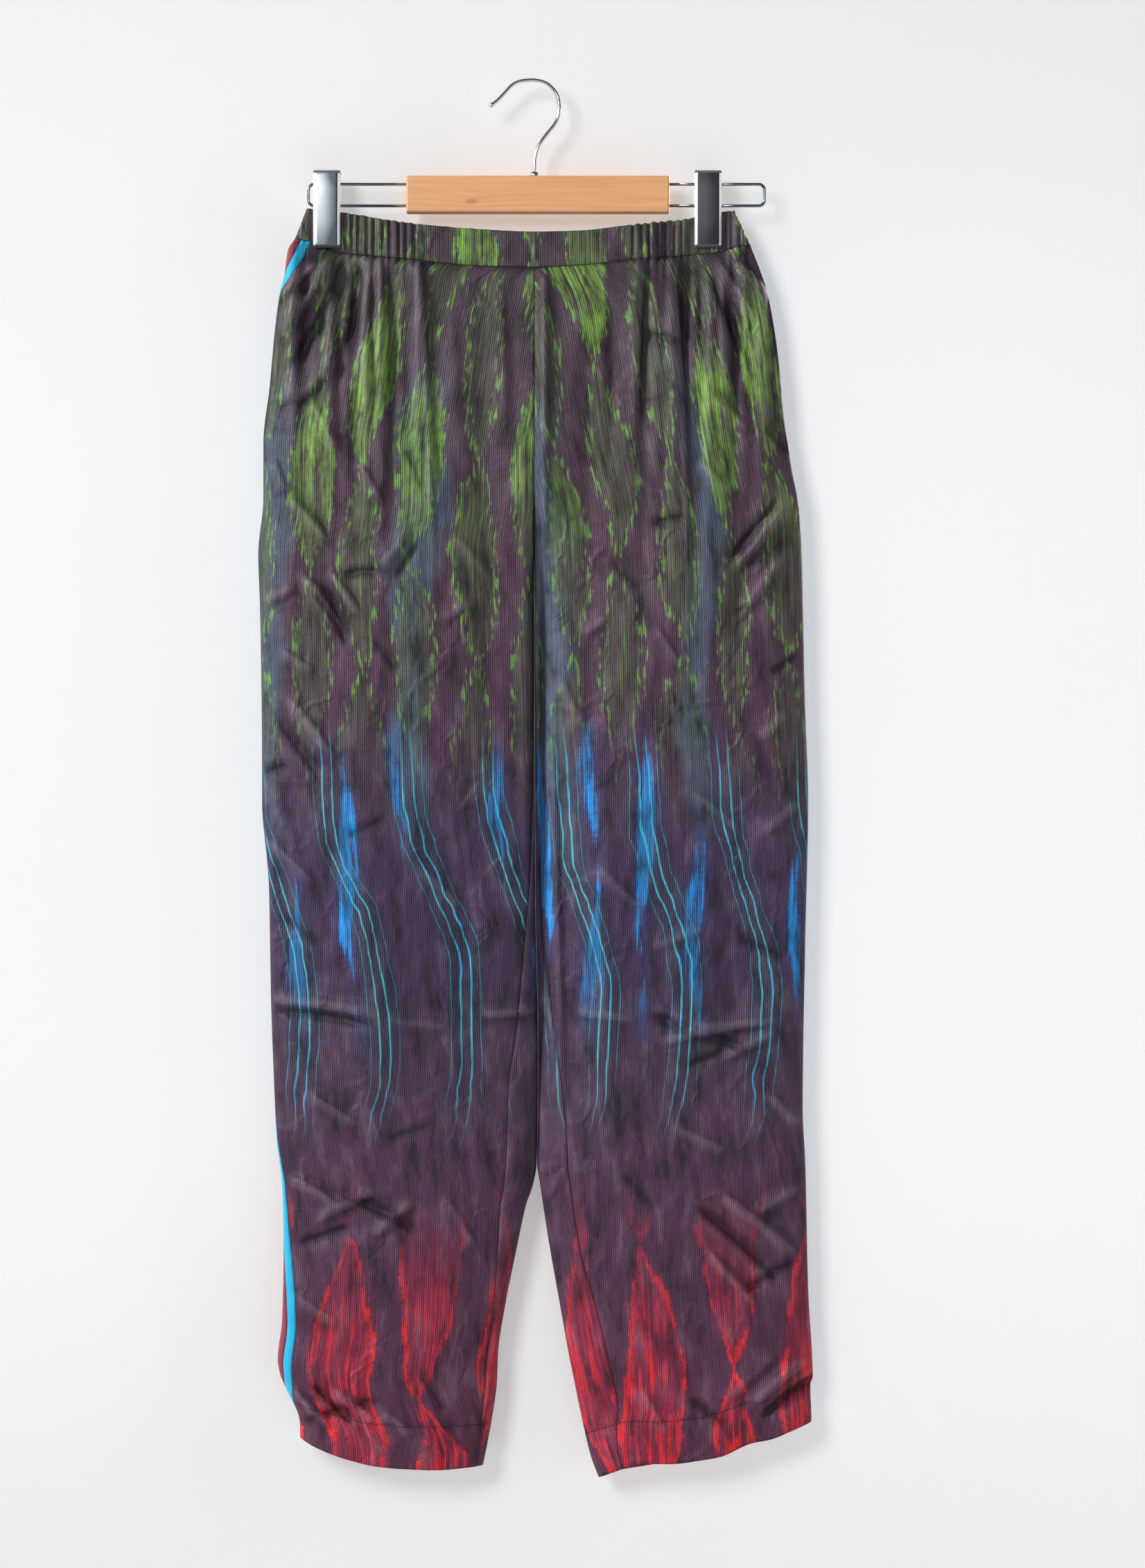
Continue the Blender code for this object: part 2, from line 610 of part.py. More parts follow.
def tube(name, path, radii, sides, finish):
    """A round wire along a path in the plane of x and down, with flat ends."""
    path = np.asarray(path, dtype=float)
    run = np.gradient(path, axis=0)
    run /= np.linalg.norm(run, axis=1)[:, None]
    angle = 2 * math.pi * np.arange(sides) / sides
    across = np.stack([-run[:, 1], run[:, 0]], axis=1)
    points = []
    for place, side_way, radius in zip(path, across, radii):
        flat = place + radius * np.cos(angle)[:, None] * side_way
        points.append(np.stack([flat[:, 0], radius * np.sin(angle), -flat[:, 1]], axis=1))
    faces = []
    for i in range(len(path) - 1):
        for j in range(sides):
            k = (j + 1) % sides
            faces.append((i * sides + j, i * sides + k, (i + 1) * sides + k, (i + 1) * sides + j))
    last = (len(path) - 1) * sides
    faces.append(tuple(range(sides)))
    faces.append(tuple(range(last + sides - 1, last - 1, -1)))
    return add_object(name, np.concatenate(points), faces, finish)


def hook_line(count):
    """Even points along the smooth curve through the hook's path."""
    known = np.array([HOOK_PATH["x"], HOOK_PATH["down"]]).T
    chord = np.concatenate([[0], np.cumsum(np.hypot(*np.diff(known, axis=0).T))])
    at = np.linspace(0, chord[-1], count)
    line = [smooth_curve(at, chord, known[:, i]) for i in range(2)]
    return np.stack(line, axis=1)


def add_hook(finish):
    """The hook, with a small ball at its tip and its neck running into the bar."""
    line = hook_line(HOOK_RINGS)
    bar_top = BAR_CENTRE[1] - BAR_SIZE[2] / 2
    foot = np.array([[BAR_NECK_X, bar_top], [BAR_NECK_X, bar_top + HOOK_DEPTH_IN_BAR]])
    line = np.concatenate([line, foot])
    run = line[0] - line[1]
    run /= np.linalg.norm(run)
    rounds = np.array((80, 55, 25, -5, -35)) * math.pi / 180
    ball = line[0] + HOOK_BALL_RADIUS * np.sin(rounds)[:, None] * run
    radii = np.concatenate([HOOK_BALL_RADIUS * np.cos(rounds), np.full(len(line) - 1, HOOK_RADIUS)])
    tube("hook", np.concatenate([ball, line[1:]]), radii, ROUND_SIDES, finish)


def wire_line(end_x, inner_x):
    """A wire loop's path: out of the bar, round the end and back into the bar."""
    top, bottom = WIRE_DOWN
    way = math.copysign(1, end_x - inner_x)
    centre_x = end_x - way * WIRE_CORNER
    angle = np.radians(np.linspace(90, 0, 5))
    upper = np.stack([centre_x + way * WIRE_CORNER * np.cos(angle),
                      top + WIRE_CORNER * (1 - np.sin(angle))], axis=1)
    lower = np.stack([upper[::-1, 0], top + bottom - upper[::-1, 1]], axis=1)
    ends = np.array([[inner_x, top], [inner_x, bottom]])
    return np.concatenate([ends[:1], upper, lower, ends[1:]])


def ring(name, centre, along_x, inner_radius, outer_radius, length, finish):
    """A short sleeve round a wire, along X, or else standing along Z."""
    angle = 2 * math.pi * np.arange(ROUND_SIDES) / ROUND_SIDES
    loops = []
    for radius, end in ((outer_radius, -0.5), (outer_radius, 0.5), (inner_radius, 0.5),
                        (inner_radius, -0.5)):
        along = np.full(ROUND_SIDES, end * length)
        first, second = radius * np.cos(angle), radius * np.sin(angle)
        loops.append(np.stack([along, first, second] if along_x else [first, second, along], axis=1))
    faces = []
    for i in range(4):
        for j in range(ROUND_SIDES):
            k = (j + 1) % ROUND_SIDES
            here, there = i * ROUND_SIDES, (i + 1) % 4 * ROUND_SIDES
            faces.append((here + j, here + k, there + k, there + j))
    points = np.concatenate(loops) + np.array(centre)
    return add_object(name, points, faces, finish)


def chamfered_jaw(name, centre_x, way, finish):
    """A clip's jaw: a plate whose outer face is smaller, with sloping edges all round. way is
    -1 for the front jaw and 1 for the back one."""
    width, depth, height = CLIP_SIZE
    inner_y = CLIP_GRIP + SEAM_GAP
    middle = -(CLIP_TOP + height / 2)
    points = []
    for y, trim in ((inner_y, 0), (inner_y + depth - CLIP_CHAMFER, 0), (inner_y + depth, CLIP_CHAMFER)):
        for corner_x, corner_z in ((-1, -1), (1, -1), (1, 1), (-1, 1)):
            x = centre_x + corner_x * (width / 2 - trim)
            points.append((x, way * y, middle + corner_z * (height / 2 - trim)))
    faces = [(0, 1, 2, 3), (8, 9, 10, 11)]
    for level in (0, 4):
        for j in range(4):
            k = (j + 1) % 4
            faces.append((level + j, level + k, level + 4 + k, level + 4 + j))
    return add_object(name, points, faces, finish)


def add_clips(finish, sleeve_finish):
    """Two clips. Each pinches the waistband between its jaws and slides on the wire loop."""
    for side, clip_x in zip(("left", "right"), CLIP_X):
        chamfered_jaw("clip_" + side + "_front", clip_x, -1, finish)
        chamfered_jaw("clip_" + side + "_back", clip_x, 1, finish)
        for place, wire_down in zip(("upper", "lower"), WIRE_DOWN):
            name = "clip_" + side + "_sleeve_" + place
            ring(name, (clip_x, 0, -wire_down), True, WIRE_RADIUS + SEAM_GAP, CLIP_GRIP,
                 SLEEVE_LENGTH, sleeve_finish)


def bore(name, start, way, depth, radius):
    """A guide solid for a blind hole, with the same facets as the wire that enters it."""
    line = [start, np.asarray(start) + np.asarray(way) * depth]
    cutter = tube(name, line, (radius, radius), ROUND_SIDES, None)
    cutter.hide_render = True
    cutter.display_type = "WIRE"
    return cutter


def add_bar(finish):
    """The wooden bar, with rounded edges and a blind hole for each wire and for the hook."""
    width, depth, height = BAR_SIZE
    bpy.ops.mesh.primitive_cube_add(size=1)
    bar = bpy.context.object
    bar.name = "bar"
    bar.data.name = "bar"
    size = Matrix.Diagonal((width * MM, depth * MM, height * MM, 1))
    bar.data.transform(Matrix.Translation((BAR_CENTRE[0] * MM, 0, -BAR_CENTRE[1] * MM)) @ size)
    bar.data.materials.append(finish)
    edges = bar.modifiers.new("rounded edges", "BEVEL")
    edges.width = BAR_BEVEL * MM
    edges.segments = 2
    top = BAR_CENTRE[1] - height / 2
    holes = [("neck_bore", (BAR_NECK_X, top - BORE_START), (0, 1), HOOK_DEPTH_IN_BAR, HOOK_RADIUS)]
    for side, way in (("left", 1), ("right", -1)):
        end_x = BAR_CENTRE[0] - way * width / 2
        for place, wire_down in zip(("upper", "lower"), WIRE_DOWN):
            start = (end_x - way * BORE_START, wire_down)
            holes.append((side + "_bore_" + place, start, (way, 0), WIRE_DEPTH_IN_BAR, WIRE_RADIUS))
    for name, start, way, depth_in, radius in holes:
        cutter = bore(name, start, way, depth_in + BORE_START + SEAM_GAP, radius + SEAM_GAP)
        cut = bar.modifiers.new(name, "BOOLEAN")
        cut.operation = "DIFFERENCE"
        cut.object = cutter
    return bar


def add_wires(finish):
    """A wire loop out of each end of the bar, which carries a clip."""
    for side, way, end_x in (("left", 1, WIRE_END_X[0]), ("right", -1, WIRE_END_X[1])):
        bar_end = BAR_CENTRE[0] - way * BAR_SIZE[0] / 2
        line = wire_line(end_x, bar_end + way * WIRE_DEPTH_IN_BAR)
        tube("wire_" + side, line, np.full(len(line), WIRE_RADIUS), ROUND_SIDES, finish)


def add_hanger():
    """The hook, its collar, the bar, the wire loops and the clips."""
    chrome = material("chrome", (205, 208, 212), 0.12, 1.0)
    wood = material("wood", (222, 158, 106), 0.5)
    add_hook(chrome)
    collar_down = BAR_CENTRE[1] - BAR_SIZE[2] / 2 - SEAM_GAP - FERRULE_HEIGHT / 2
    ring("ferrule", (BAR_NECK_X, 0, -collar_down), False, HOOK_RADIUS + SEAM_GAP, FERRULE_RADIUS,
         FERRULE_HEIGHT, chrome)
    add_bar(wood)
    add_wires(chrome)
    add_clips(chrome, material("dark_steel", (70, 72, 76), 0.3, 1.0))


def main():
    """Clear the scene, then make the trousers and the hanger."""
    for old in list(bpy.data.objects):
        bpy.data.objects.remove(old)
    crepe = material("crepe", (74, 60, 76), 0.75)
    add_panels(crepe)
    add_stripes(material("turquoise", (0, 168, 205), 0.7), material("maroon", (132, 44, 66), 0.75))
    add_waistband(crepe)
    add_hanger()


main()
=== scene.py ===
# %% [markdown]
# # Straight-leg trousers on a clip hanger
#
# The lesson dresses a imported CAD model. The model gives the size, the place and the seams, and
# this script gives each piece its folds, its weave and its colour. Lengths in the tables are in
# millimetres. "down" is the distance below the hook's bend, "x" the place across, and "left" and
# "right" are the viewer's.

import math

import bmesh
import bpy
import numpy as np
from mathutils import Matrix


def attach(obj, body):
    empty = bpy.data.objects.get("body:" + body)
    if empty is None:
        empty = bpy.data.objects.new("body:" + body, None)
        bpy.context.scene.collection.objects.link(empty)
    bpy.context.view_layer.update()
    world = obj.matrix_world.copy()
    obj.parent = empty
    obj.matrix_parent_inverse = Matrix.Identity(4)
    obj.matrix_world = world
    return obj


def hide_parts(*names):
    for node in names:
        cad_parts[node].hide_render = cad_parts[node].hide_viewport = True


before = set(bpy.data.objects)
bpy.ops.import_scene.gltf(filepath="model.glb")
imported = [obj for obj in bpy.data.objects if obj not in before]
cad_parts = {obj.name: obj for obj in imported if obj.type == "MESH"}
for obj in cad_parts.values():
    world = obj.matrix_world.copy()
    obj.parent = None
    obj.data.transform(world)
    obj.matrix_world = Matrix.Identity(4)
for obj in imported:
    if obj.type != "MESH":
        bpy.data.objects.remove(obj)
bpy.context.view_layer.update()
MM = 0.001

# %% [markdown]
# ## The camera
#
# The picture was taken straight on, from about the height of the trousers' middle. A long lens
# from 2.6 m away keeps the two hems level, as they are there.

# %% Camera
PICTURE = (1652, 2263)
MM_PER_PIXEL = 0.55
HOOK_PIXEL = (768, 118)
DISTANCE = 2.593
FOCAL_LENGTH, SENSOR_WIDTH = 75, 36
NEAREST_SEEN = 0.05

lens = bpy.data.cameras.new("camera")
lens.lens = FOCAL_LENGTH
lens.sensor_width = SENSOR_WIDTH
lens.clip_start = NEAREST_SEEN
camera = bpy.data.objects.new("camera", lens)
bpy.context.scene.collection.objects.link(camera)
camera.location = ((PICTURE[0] / 2 - HOOK_PIXEL[0]) * MM_PER_PIXEL * MM, -DISTANCE,
                   -(PICTURE[1] / 2 - HOOK_PIXEL[1]) * MM_PER_PIXEL * MM)
camera.rotation_euler = (math.radians(90), 0, 0)
bpy.context.scene.camera = camera
print("camera at", [round(value, 4) for value in camera.location])

# %% [markdown]
# ## Curves through a few measured points
#
# A pattern cutter draws a side seam through a few points with a flexible ruler. The curve below
# does that job: it passes through every point and never swings past one, so no bulge appears
# that nobody drew.

# %% Curve helpers


def table(columns, *rows):
    """A table with named columns: {"down": array, "x": array, ...}."""
    return dict(zip(columns.split(), np.array(rows, dtype=float).T))


def smooth_curve(at, knots, values):
    """A cubic between each two points. The slope at a point is the harmonic mean of the slopes
    of the chords beside it, or level where they differ in sign."""
    at = np.clip(at, knots[0], knots[-1])
    chord = np.diff(values) / np.diff(knots)
    product = chord[:-1] * chord[1:]
    total = chord[:-1] + chord[1:]
    inner = np.where(product > 0, 2 * product / np.where(product > 0, total, 1), 0)
    slope = np.concatenate([chord[:1], inner, chord[-1:]])
    i = np.clip(np.searchsorted(knots, at, side="right") - 1, 0, len(knots) - 2)
    step = knots[i + 1] - knots[i]
    t = (at - knots[i]) / step
    rise = t * t * (3 - 2 * t)
    return (values[i] * (1 - rise) + values[i + 1] * rise + t * (1 - t) ** 2 * step * slope[i]
            + t * t * (t - 1) * step * slope[i + 1])


def smooth_step(t):
    """0 below 0, 1 above 1, and 3t^2 - 2t^3 between."""
    t = np.clip(t, 0, 1)
    return t * t * (3 - 2 * t)


def quarter_round(distance, radius):
    """Height of a quarter circle, 0 to 1, over the distance from its foot."""
    t = 1 - np.clip(distance / radius, 0, 1)
    return np.sqrt(1 - t * t)


print("a smooth step at a quarter of its way:", smooth_step(0.25))

# %% [markdown]
# ## The measured outline
#
# These are the outline's points: the outer edge of each leg, the centre seam that turns into
# the inner edge below the crotch, the half depth from front to back, the waist and the hems.
# They are the CAD model's own values, so every sheet lies on the solid that it stands for. Only
# the centre seam is closed a little further here, until the two halves all but touch.

# %% Outline tables
LEFT_EDGE = table(
    "down x",
    (99, -178.5), (125, -188.7), (133, -193.8), (155, -197), (166, -200), (199, -204.5),
    (243, -208.5), (287, -213.4), (331, -213.4), (375, -217.4), (419, -216), (529, -214.5),
    (573, -214.4), (617, -210.6), (639, -209), (727, -207.4), (793, -205), (837, -203),
    (876, -198.5), (925, -197.3), (983, -198.6), (1014, -202), (1024, -200.6), (1040, -194),
    (1058, -185.6), (1066, -184.3), (1110, -184.3))
RIGHT_EDGE = table(
    "down x",
    (101, 160), (130, 173.4), (144, 178.8), (155, 183), (177, 188.6), (221, 195.4),
    (265, 199.6), (309, 206.4), (331, 210.8), (353, 213), (397, 214.5), (485, 216.2),
    (573, 218.9), (683, 216.6), (815, 214.6), (859, 216.7), (958, 218.9), (1014, 222.2),
    (1027, 222.6), (1034, 220.6), (1063, 221.6), (1110, 221.6))
INNER_EDGE = table(
    "down left right",
    (99, 2.05, 2.15), (407, 1.65, 1.75), (650, 2.45, 2.55), (760, 4.45, 4.55),
    (815, 4.35, 4.45), (858, 3.5, 3.8), (874, 1.0, 6.0), (892, -5.0, 8.6), (925, -12.1, 13.8),
    (974, -22.0, 22.5), (1008, -27.0, 28.6), (1032, -28.0, 33.4), (1057, -31.4, 38.5),
    (1090, -37.4, 46.2), (1110, -42.0, 53.6))
HALF_DEPTH = table(
    "down half",
    (99, 10), (128, 11.5), (160, 14.5), (220, 17.5), (300, 19.5), (400, 20), (500, 19.5),
    (650, 17.5), (800, 16), (950, 15.5), (1050, 16.5), (1110, 17.5))
WAIST = table(
    "x top back_top seam",
    (-189, 100.8, 101.0, 125.4), (-174, 102.4, 102.4, 128.0), (-150, 105.6, 104.2, 136.6),
    (-125, 110.5, 107.4, 140.2), (-92, 115, 111.2, 143.6), (-48, 118.6, 114.4, 148),
    (2, 120.7, 116.9, 149.3), (42, 119.8, 117.1, 147.3), (73, 116.6, 114.6, 143.8),
    (106, 112.5, 111.2, 140.6), (134, 109, 108.6, 137.2), (150, 105.8, 106, 135.2),
    (161, 103.9, 104, 132.6), (173.5, 102.4, 102.4, 130.4))
HEM = {
    "left": table(
        "across front back",
        (0, 1075.3, 1075.3), (0.09, 1082, 1078), (0.24, 1089.6, 1084), (0.41, 1095.6, 1090),
        (0.58, 1097.8, 1093), (0.78, 1098.9, 1095.5), (1, 1097.3, 1097.3)),
    "right": table(
        "across front back",
        (0, 1062.6, 1062.6), (0.1, 1069.2, 1066), (0.2, 1075.3, 1073), (0.29, 1078, 1078),
        (0.43, 1087.9, 1087), (0.53, 1091.2, 1093.4), (0.67, 1094, 1098.4), (0.8, 1094.2, 1102),
        (0.89, 1098.9, 1104), (1, 1107.2, 1107.2))}
SIDE_SEAM = table(
    "down left right",
    (99, 15, -3), (126, 16, -3), (134, 17, -3), (146, 13, -3), (158, 8, -3.5),
    (170, 3.5, -4), (182, 0, -4), (215, -4, -4.5), (300, -5, -5), (740, -4, -5),
    (799, 0.5, -5), (911, 8.5, -4.5), (961, 14, -4), (1000, 16.5, -3), (1024, 15, -3),
    (1040, 8, -3), (1060, 0, -3), (1110, -3, -3))
INSEAM = table(
    "down left right",
    (406, 0.8, 0.8), (520, 3, 3), (623, 7, 6.5), (705, 15.5, 11), (755, 21, 17), (800, 27, 24),
    (860, 28, 28.5), (911, 21, 28), (991, 12, 34), (1047, 13.5, 35), (1092, 9.5, 26),
    (1110, 8.5, 24))
print("the outline runs from", LEFT_EDGE["x"].min(), "to", RIGHT_EDGE["x"].max(), "mm")

# %% [markdown]
# ## The hanging form
#
# Each half of the trousers is a long flat tube. At any height it is cut by a level plane, and
# the cut is a flat lens with rounded ends. One angle runs round the lens: 0 at the outer edge,
# pi at the inner edge, with the front between them and the back beyond. The clips pinch the
# lens flat, and above the crotch the two halves join.

# %% Section of one half
NOMINAL_WAIST, NOMINAL_HEM = 140.0, 1092.0
WAIST_REACH, HEM_REACH = 260.0, 150.0
CROTCH_DOWN, CROTCH_RISE = 407.0, 95.0
LENS_POWER = 2.2
EDGE_ROUND = 3.6
CLIP_X = (-162.8, 139.4)
CLIP_WIDTH = 21.5
CLIP_GRIP = 2.5
JAW_MARGIN = 1.5
GRIP_DROP, GRIP_OUTWARDS, GRIP_INWARDS = 100, 16, 50
GRIP_ROUND = 3


def outer_edge(side, down):
    """x of the leg's outer edge."""
    edge = LEFT_EDGE if side == "left" else RIGHT_EDGE
    return smooth_curve(down, edge["down"], edge["x"])


def inner_edge(side, down):
    """x of the centre seam, and below the crotch of the leg's inner edge."""
    return smooth_curve(down, INNER_EDGE["down"], INNER_EDGE[side])


def waist_line(x, line):
    """How far down the band's seam, or its top edge in front or at the back, is at x."""
    return smooth_curve(x, WAIST["x"], WAIST[line])


def row_down(side, across, row, on_back):
    """How far down a point of a row is. A row is a height that bends with the waist seam near
    the top and with the hem near the bottom. Rows 0 to -1 climb the waistband."""
    start = outer_edge(side, WAIST["seam"][0 if side == "left" else -1])
    seam_x = start + (inner_edge(side, NOMINAL_WAIST) - start) * across
    seam = waist_line(seam_x, "seam")
    hem = np.where(on_back, smooth_curve(across, HEM[side]["across"], HEM[side]["back"]),
                   smooth_curve(across, HEM[side]["across"], HEM[side]["front"]))
    near_waist = 1 - smooth_step((row - NOMINAL_WAIST) / WAIST_REACH)
    near_hem = 1 - smooth_step((NOMINAL_HEM - row) / HEM_REACH)
    panel = row + near_waist * (seam - NOMINAL_WAIST) + near_hem * (hem - NOMINAL_HEM)
    top = np.where(on_back, waist_line(seam_x, "back_top"), waist_line(seam_x, "top"))
    return np.where(row > 0, panel, seam + (top - seam) * np.clip(-row, 0, 1))


def grip(x, down):
    """1 under a clip's jaws. It fades over 16 mm outwards, 50 mm inwards and 100 mm down."""
    below = smooth_step((down - waist_line(x, "seam") - 1) / GRIP_DROP)
    held = np.zeros_like(x)
    for clip_x in CLIP_X:
        away = np.abs(x - clip_x) - CLIP_WIDTH / 2 - JAW_MARGIN
        reach = np.where(np.abs(x) > abs(clip_x), GRIP_OUTWARDS, GRIP_INWARDS)
        held = np.maximum(held, 1 - smooth_step(away / reach))
    return held * (1 - below)


def half_section(side, turn, row, on_back):
    """x, y and down of a half's section. Across is (1 - cos turn) / 2, and the depth is the
    cube root of (half depth x lens)^3 + (edge round)^3, with lens = (1 - |2 across - 1|^2.2) to
    the power 1/2.2. Above the crotch the inner end stays open, so that the halves join."""
    across = (1 - np.cos(turn)) / 2
    down = row_down(side, across, row, on_back)
    outer = outer_edge(side, row_down(side, np.zeros_like(across), row, on_back))
    inner = inner_edge(side, row_down(side, np.ones_like(across), row, on_back))
    x = outer + (inner - outer) * across
    fill = smooth_step((CROTCH_DOWN - down) / CROTCH_RISE)
    lens = (1 - np.abs(2 * across - 1) ** LENS_POWER) ** (1 / LENS_POWER)
    lens = np.where(across > 0.5, 1 - (1 - lens) * (1 - fill), lens)
    outer_round = quarter_round(np.abs(x - outer), EDGE_ROUND)
    inner_round = 1 - (1 - quarter_round(np.abs(x - inner), EDGE_ROUND)) * (1 - fill)
    edge = EDGE_ROUND * np.minimum(outer_round, inner_round)
    half = smooth_curve(down, HALF_DEPTH["down"], HALF_DEPTH["half"])
    depth = ((half * lens) ** 3 + edge ** 3) ** (1 / 3)
    held = grip(x, down)
    depth = depth * (1 - held) + CLIP_GRIP * held * quarter_round(np.abs(x - outer), GRIP_ROUND)
    return x, np.where(on_back, depth, -depth), down


print("half depth at the hip, the knee and the hem:",
      smooth_curve(np.array((220.0, 740.0, 1090.0)), HALF_DEPTH["down"], HALF_DEPTH["half"]))

# %% [markdown]
# ## Folds, creases and pleats
#
# Thin crepe keeps every crease from its packing, so the folds are placed one by one.
# A fold is a soft ridge along a line, or a trough where its height is negative. A pleat is
# lopsided: the cloth climbs slowly and then drops off sharply, and the drop is what shows as a
# thin dark line. The back doesn't show in the picture, so it gets its own creases of the same
# kind. A row gives a line's two ends, then the fold's width, height and sideways bend.

# %% Fold tables
FOLDS = "x1 down1 x2 down2 width height bend"
FRONT_FOLDS = table(
    FOLDS,
    # long soft folds that hang from the waist and down the legs
    (-130, 100, -130, 300, 7, 2.2, 0), (-42, 200, -36, 520, 13, -2.4, 3),
    (44, 210, 50, 560, 13, -2.2, -3), (-170, 330, -150, 470, 12, -2.4, 0),
    (172, 300, 160, 460, 12, -2.2, 0), (-150, 480, -120, 900, 20, 2.2, 5),
    (-60, 520, -48, 900, 16, -2.2, 0), (60, 540, 66, 900, 18, 2.0, -4),
    (150, 520, 160, 860, 20, -2.2, 0), (-64, 150, -58, 330, 9, 1.5, 0),
    (-25, 155, -20, 300, 8, 1.2, 0), (36, 155, 32, 300, 9, 1.3, 0),
    (62, 152, 58, 340, 8, -1.3, 2), (150, 140, 152, 260, 7, 1.8, 0),
    # the valley where the two legs lie against each other
    (8, 330, 7, 860, 6, -3.0, 0), (-7, 240, -5, 700, 8, 1.6, 0), (18, 440, 30, 840, 7, -1.6, 0),
    # drag lines from the left clip to the hip
    (-156, 128, -204, 212, 7, 3.8, 4), (-137, 140, -150, 222, 6, -3.0, 3),
    (-168, 140, -206, 178, 6, 2.8, 2), (-146, 132, -196, 236, 7, -2.8, 4),
    (-150, 215, -196, 262, 8, 2.4, 3), (-128, 150, -142, 260, 5, 2.0, 0),
    # drag lines from the right clip
    (146, 136, 186, 200, 7, 2.2, -3), (138, 140, 176, 232, 7, -2.0, -4),
    (158, 132, 190, 168, 6, -1.8, 0), (128, 142, 134, 250, 5, 1.4, 0),
    # crumples at the left thigh
    (-204, 300, -194, 330, 5, 1.8, 0), (-192, 330, -158, 372, 5, 2.4, 2),
    (-184, 388, -146, 444, 5, 2.8, 3), (-178, 400, -144, 452, 5, -2.4, 3),
    (-161, 386, -132, 428, 4.5, 2.2, 0), (-152, 392, -116, 389, 4.5, -2.2, 2),
    (-119, 392, -92, 350, 5, 2.2, 0), (-110, 398, -88, 362, 4.5, -1.6, 0),
    (-212, 416, -184, 401, 5, 2.0, 0), (-198, 484, -154, 542, 6, 2.2, 3),
    (-206, 500, -164, 556, 7, -1.8, 0), (-214, 548, -190, 540, 6, -1.8, 0),
    (-200, 450, -170, 470, 6, 1.6, 0), (-130, 440, -104, 476, 6, -1.4, 2),
    # crumples at the right thigh
    (86, 200, 122, 209, 5, -1.6, 1), (92, 352, 124, 346, 5, -1.8, 1),
    (154, 394, 206, 330, 5, 2.6, -2), (164, 424, 202, 370, 5, 2.2, -2),
    (150, 384, 196, 326, 5, -1.8, -2), (40, 442, 62, 424, 5, 1.6, 0),
    (178, 526, 204, 498, 6, 1.8, 0), (184, 470, 212, 452, 6, -1.6, 0),
    (20, 470, 44, 520, 8, 1.4, 0), (96, 430, 120, 470, 6, 1.3, 0),
    # small creases between them
    (-176, 250, -150, 300, 5, 1.6, 0), (-206, 262, -176, 250, 5, -1.4, 0),
    (-140, 300, -118, 340, 5, 1.4, 2), (-100, 290, -84, 330, 5, -1.2, 0),
    (-60, 360, -30, 400, 6, 1.3, 0), (-72, 430, -44, 412, 5, 1.2, 0),
    (-212, 600, -170, 640, 7, 1.5, 2), (-150, 600, -110, 580, 7, -1.3, 0),
    (-90, 620, -50, 660, 7, 1.3, 0), (-200, 660, -160, 690, 6, -1.5, 0),
    (140, 250, 172, 280, 6, 1.4, 0), (180, 270, 204, 300, 6, -1.5, 0),
    (130, 300, 158, 330, 5, 1.5, 0), (60, 380, 90, 410, 6, -1.2, 0),
    (120, 560, 170, 600, 7, 1.4, 2), (180, 600, 214, 570, 6, 1.5, 0),
    (50, 620, 90, 660, 7, 1.2, 0), (160, 680, 206, 700, 6, -1.5, 2),
    (90, 690, 140, 670, 6, 1.3, 0), (186, 800, 214, 830, 6, 1.6, 0),
    # the packing crease across both knees
    (-214, 728, -112, 742, 4.5, 2.6, 2), (-212, 735, -116, 749, 4, -2.0, 2),
    (-44, 742, 8, 737, 4, 1.8, 0), (-118, 744, -60, 752, 6, 1.2, 0),
    (84, 736, 180, 773, 6, -2.6, 3), (96, 764, 204, 744, 5.5, 2.4, 3),
    (104, 742, 150, 760, 4.5, 2.2, 0), (150, 776, 196, 752, 5, 2.0, 0),
    (118, 780, 158, 764, 5, -1.8, 0), (30, 738, 88, 745, 5, 1.5, 0),
    # dents in the left shin
    (-196, 866, -150, 892, 6, 2.2, 2), (-174, 906, -118, 878, 5, 2.2, 2),
    (-156, 880, -82, 918, 7, -2.2, 3), (-190, 922, -138, 904, 6, -2.0, 0),
    (-128, 918, -90, 884, 5, 1.8, 0), (-180, 800, -130, 830, 7, 1.6, 0),
    (-120, 840, -70, 824, 8, -1.4, 2), (-190, 960, -150, 985, 8, 1.6, 0),
    (-70, 880, -40, 930, 8, 1.4, 0),
    # slanting folds in the right shin
    (120, 884, 202, 960, 7, -2.4, 3), (146, 878, 214, 934, 6, 2.4, 2),
    (136, 922, 180, 972, 5.5, 2.0, 0), (172, 900, 216, 874, 6, 1.8, 0),
    (110, 826, 160, 850, 7, 1.5, 0), (66, 860, 104, 900, 8, -1.4, 0),
    (160, 960, 214, 930, 7, -1.8, 0),
    # the hems
    (-192, 1032, -158, 1066, 4.5, 2.4, 0), (-178, 1030, -140, 1068, 4.5, -2.2, 2),
    (-160, 1034, -118, 1062, 4.5, 2.2, 0), (-188, 1064, -110, 1040, 6, -1.8, 2),
    (-120, 1050, -90, 1072, 5, 1.6, 0), (-90, 1020, -66, 1060, 6, -1.4, 0),
    (178, 1060, 228, 1022, 5, -3.2, 2), (168, 1054, 224, 1008, 7, 2.8, 2),
    (150, 1048, 200, 1000, 8, 1.6, 0), (120, 1040, 160, 1070, 6, -1.6, 0),
    (84, 1030, 110, 1076, 7, 1.4, 0))
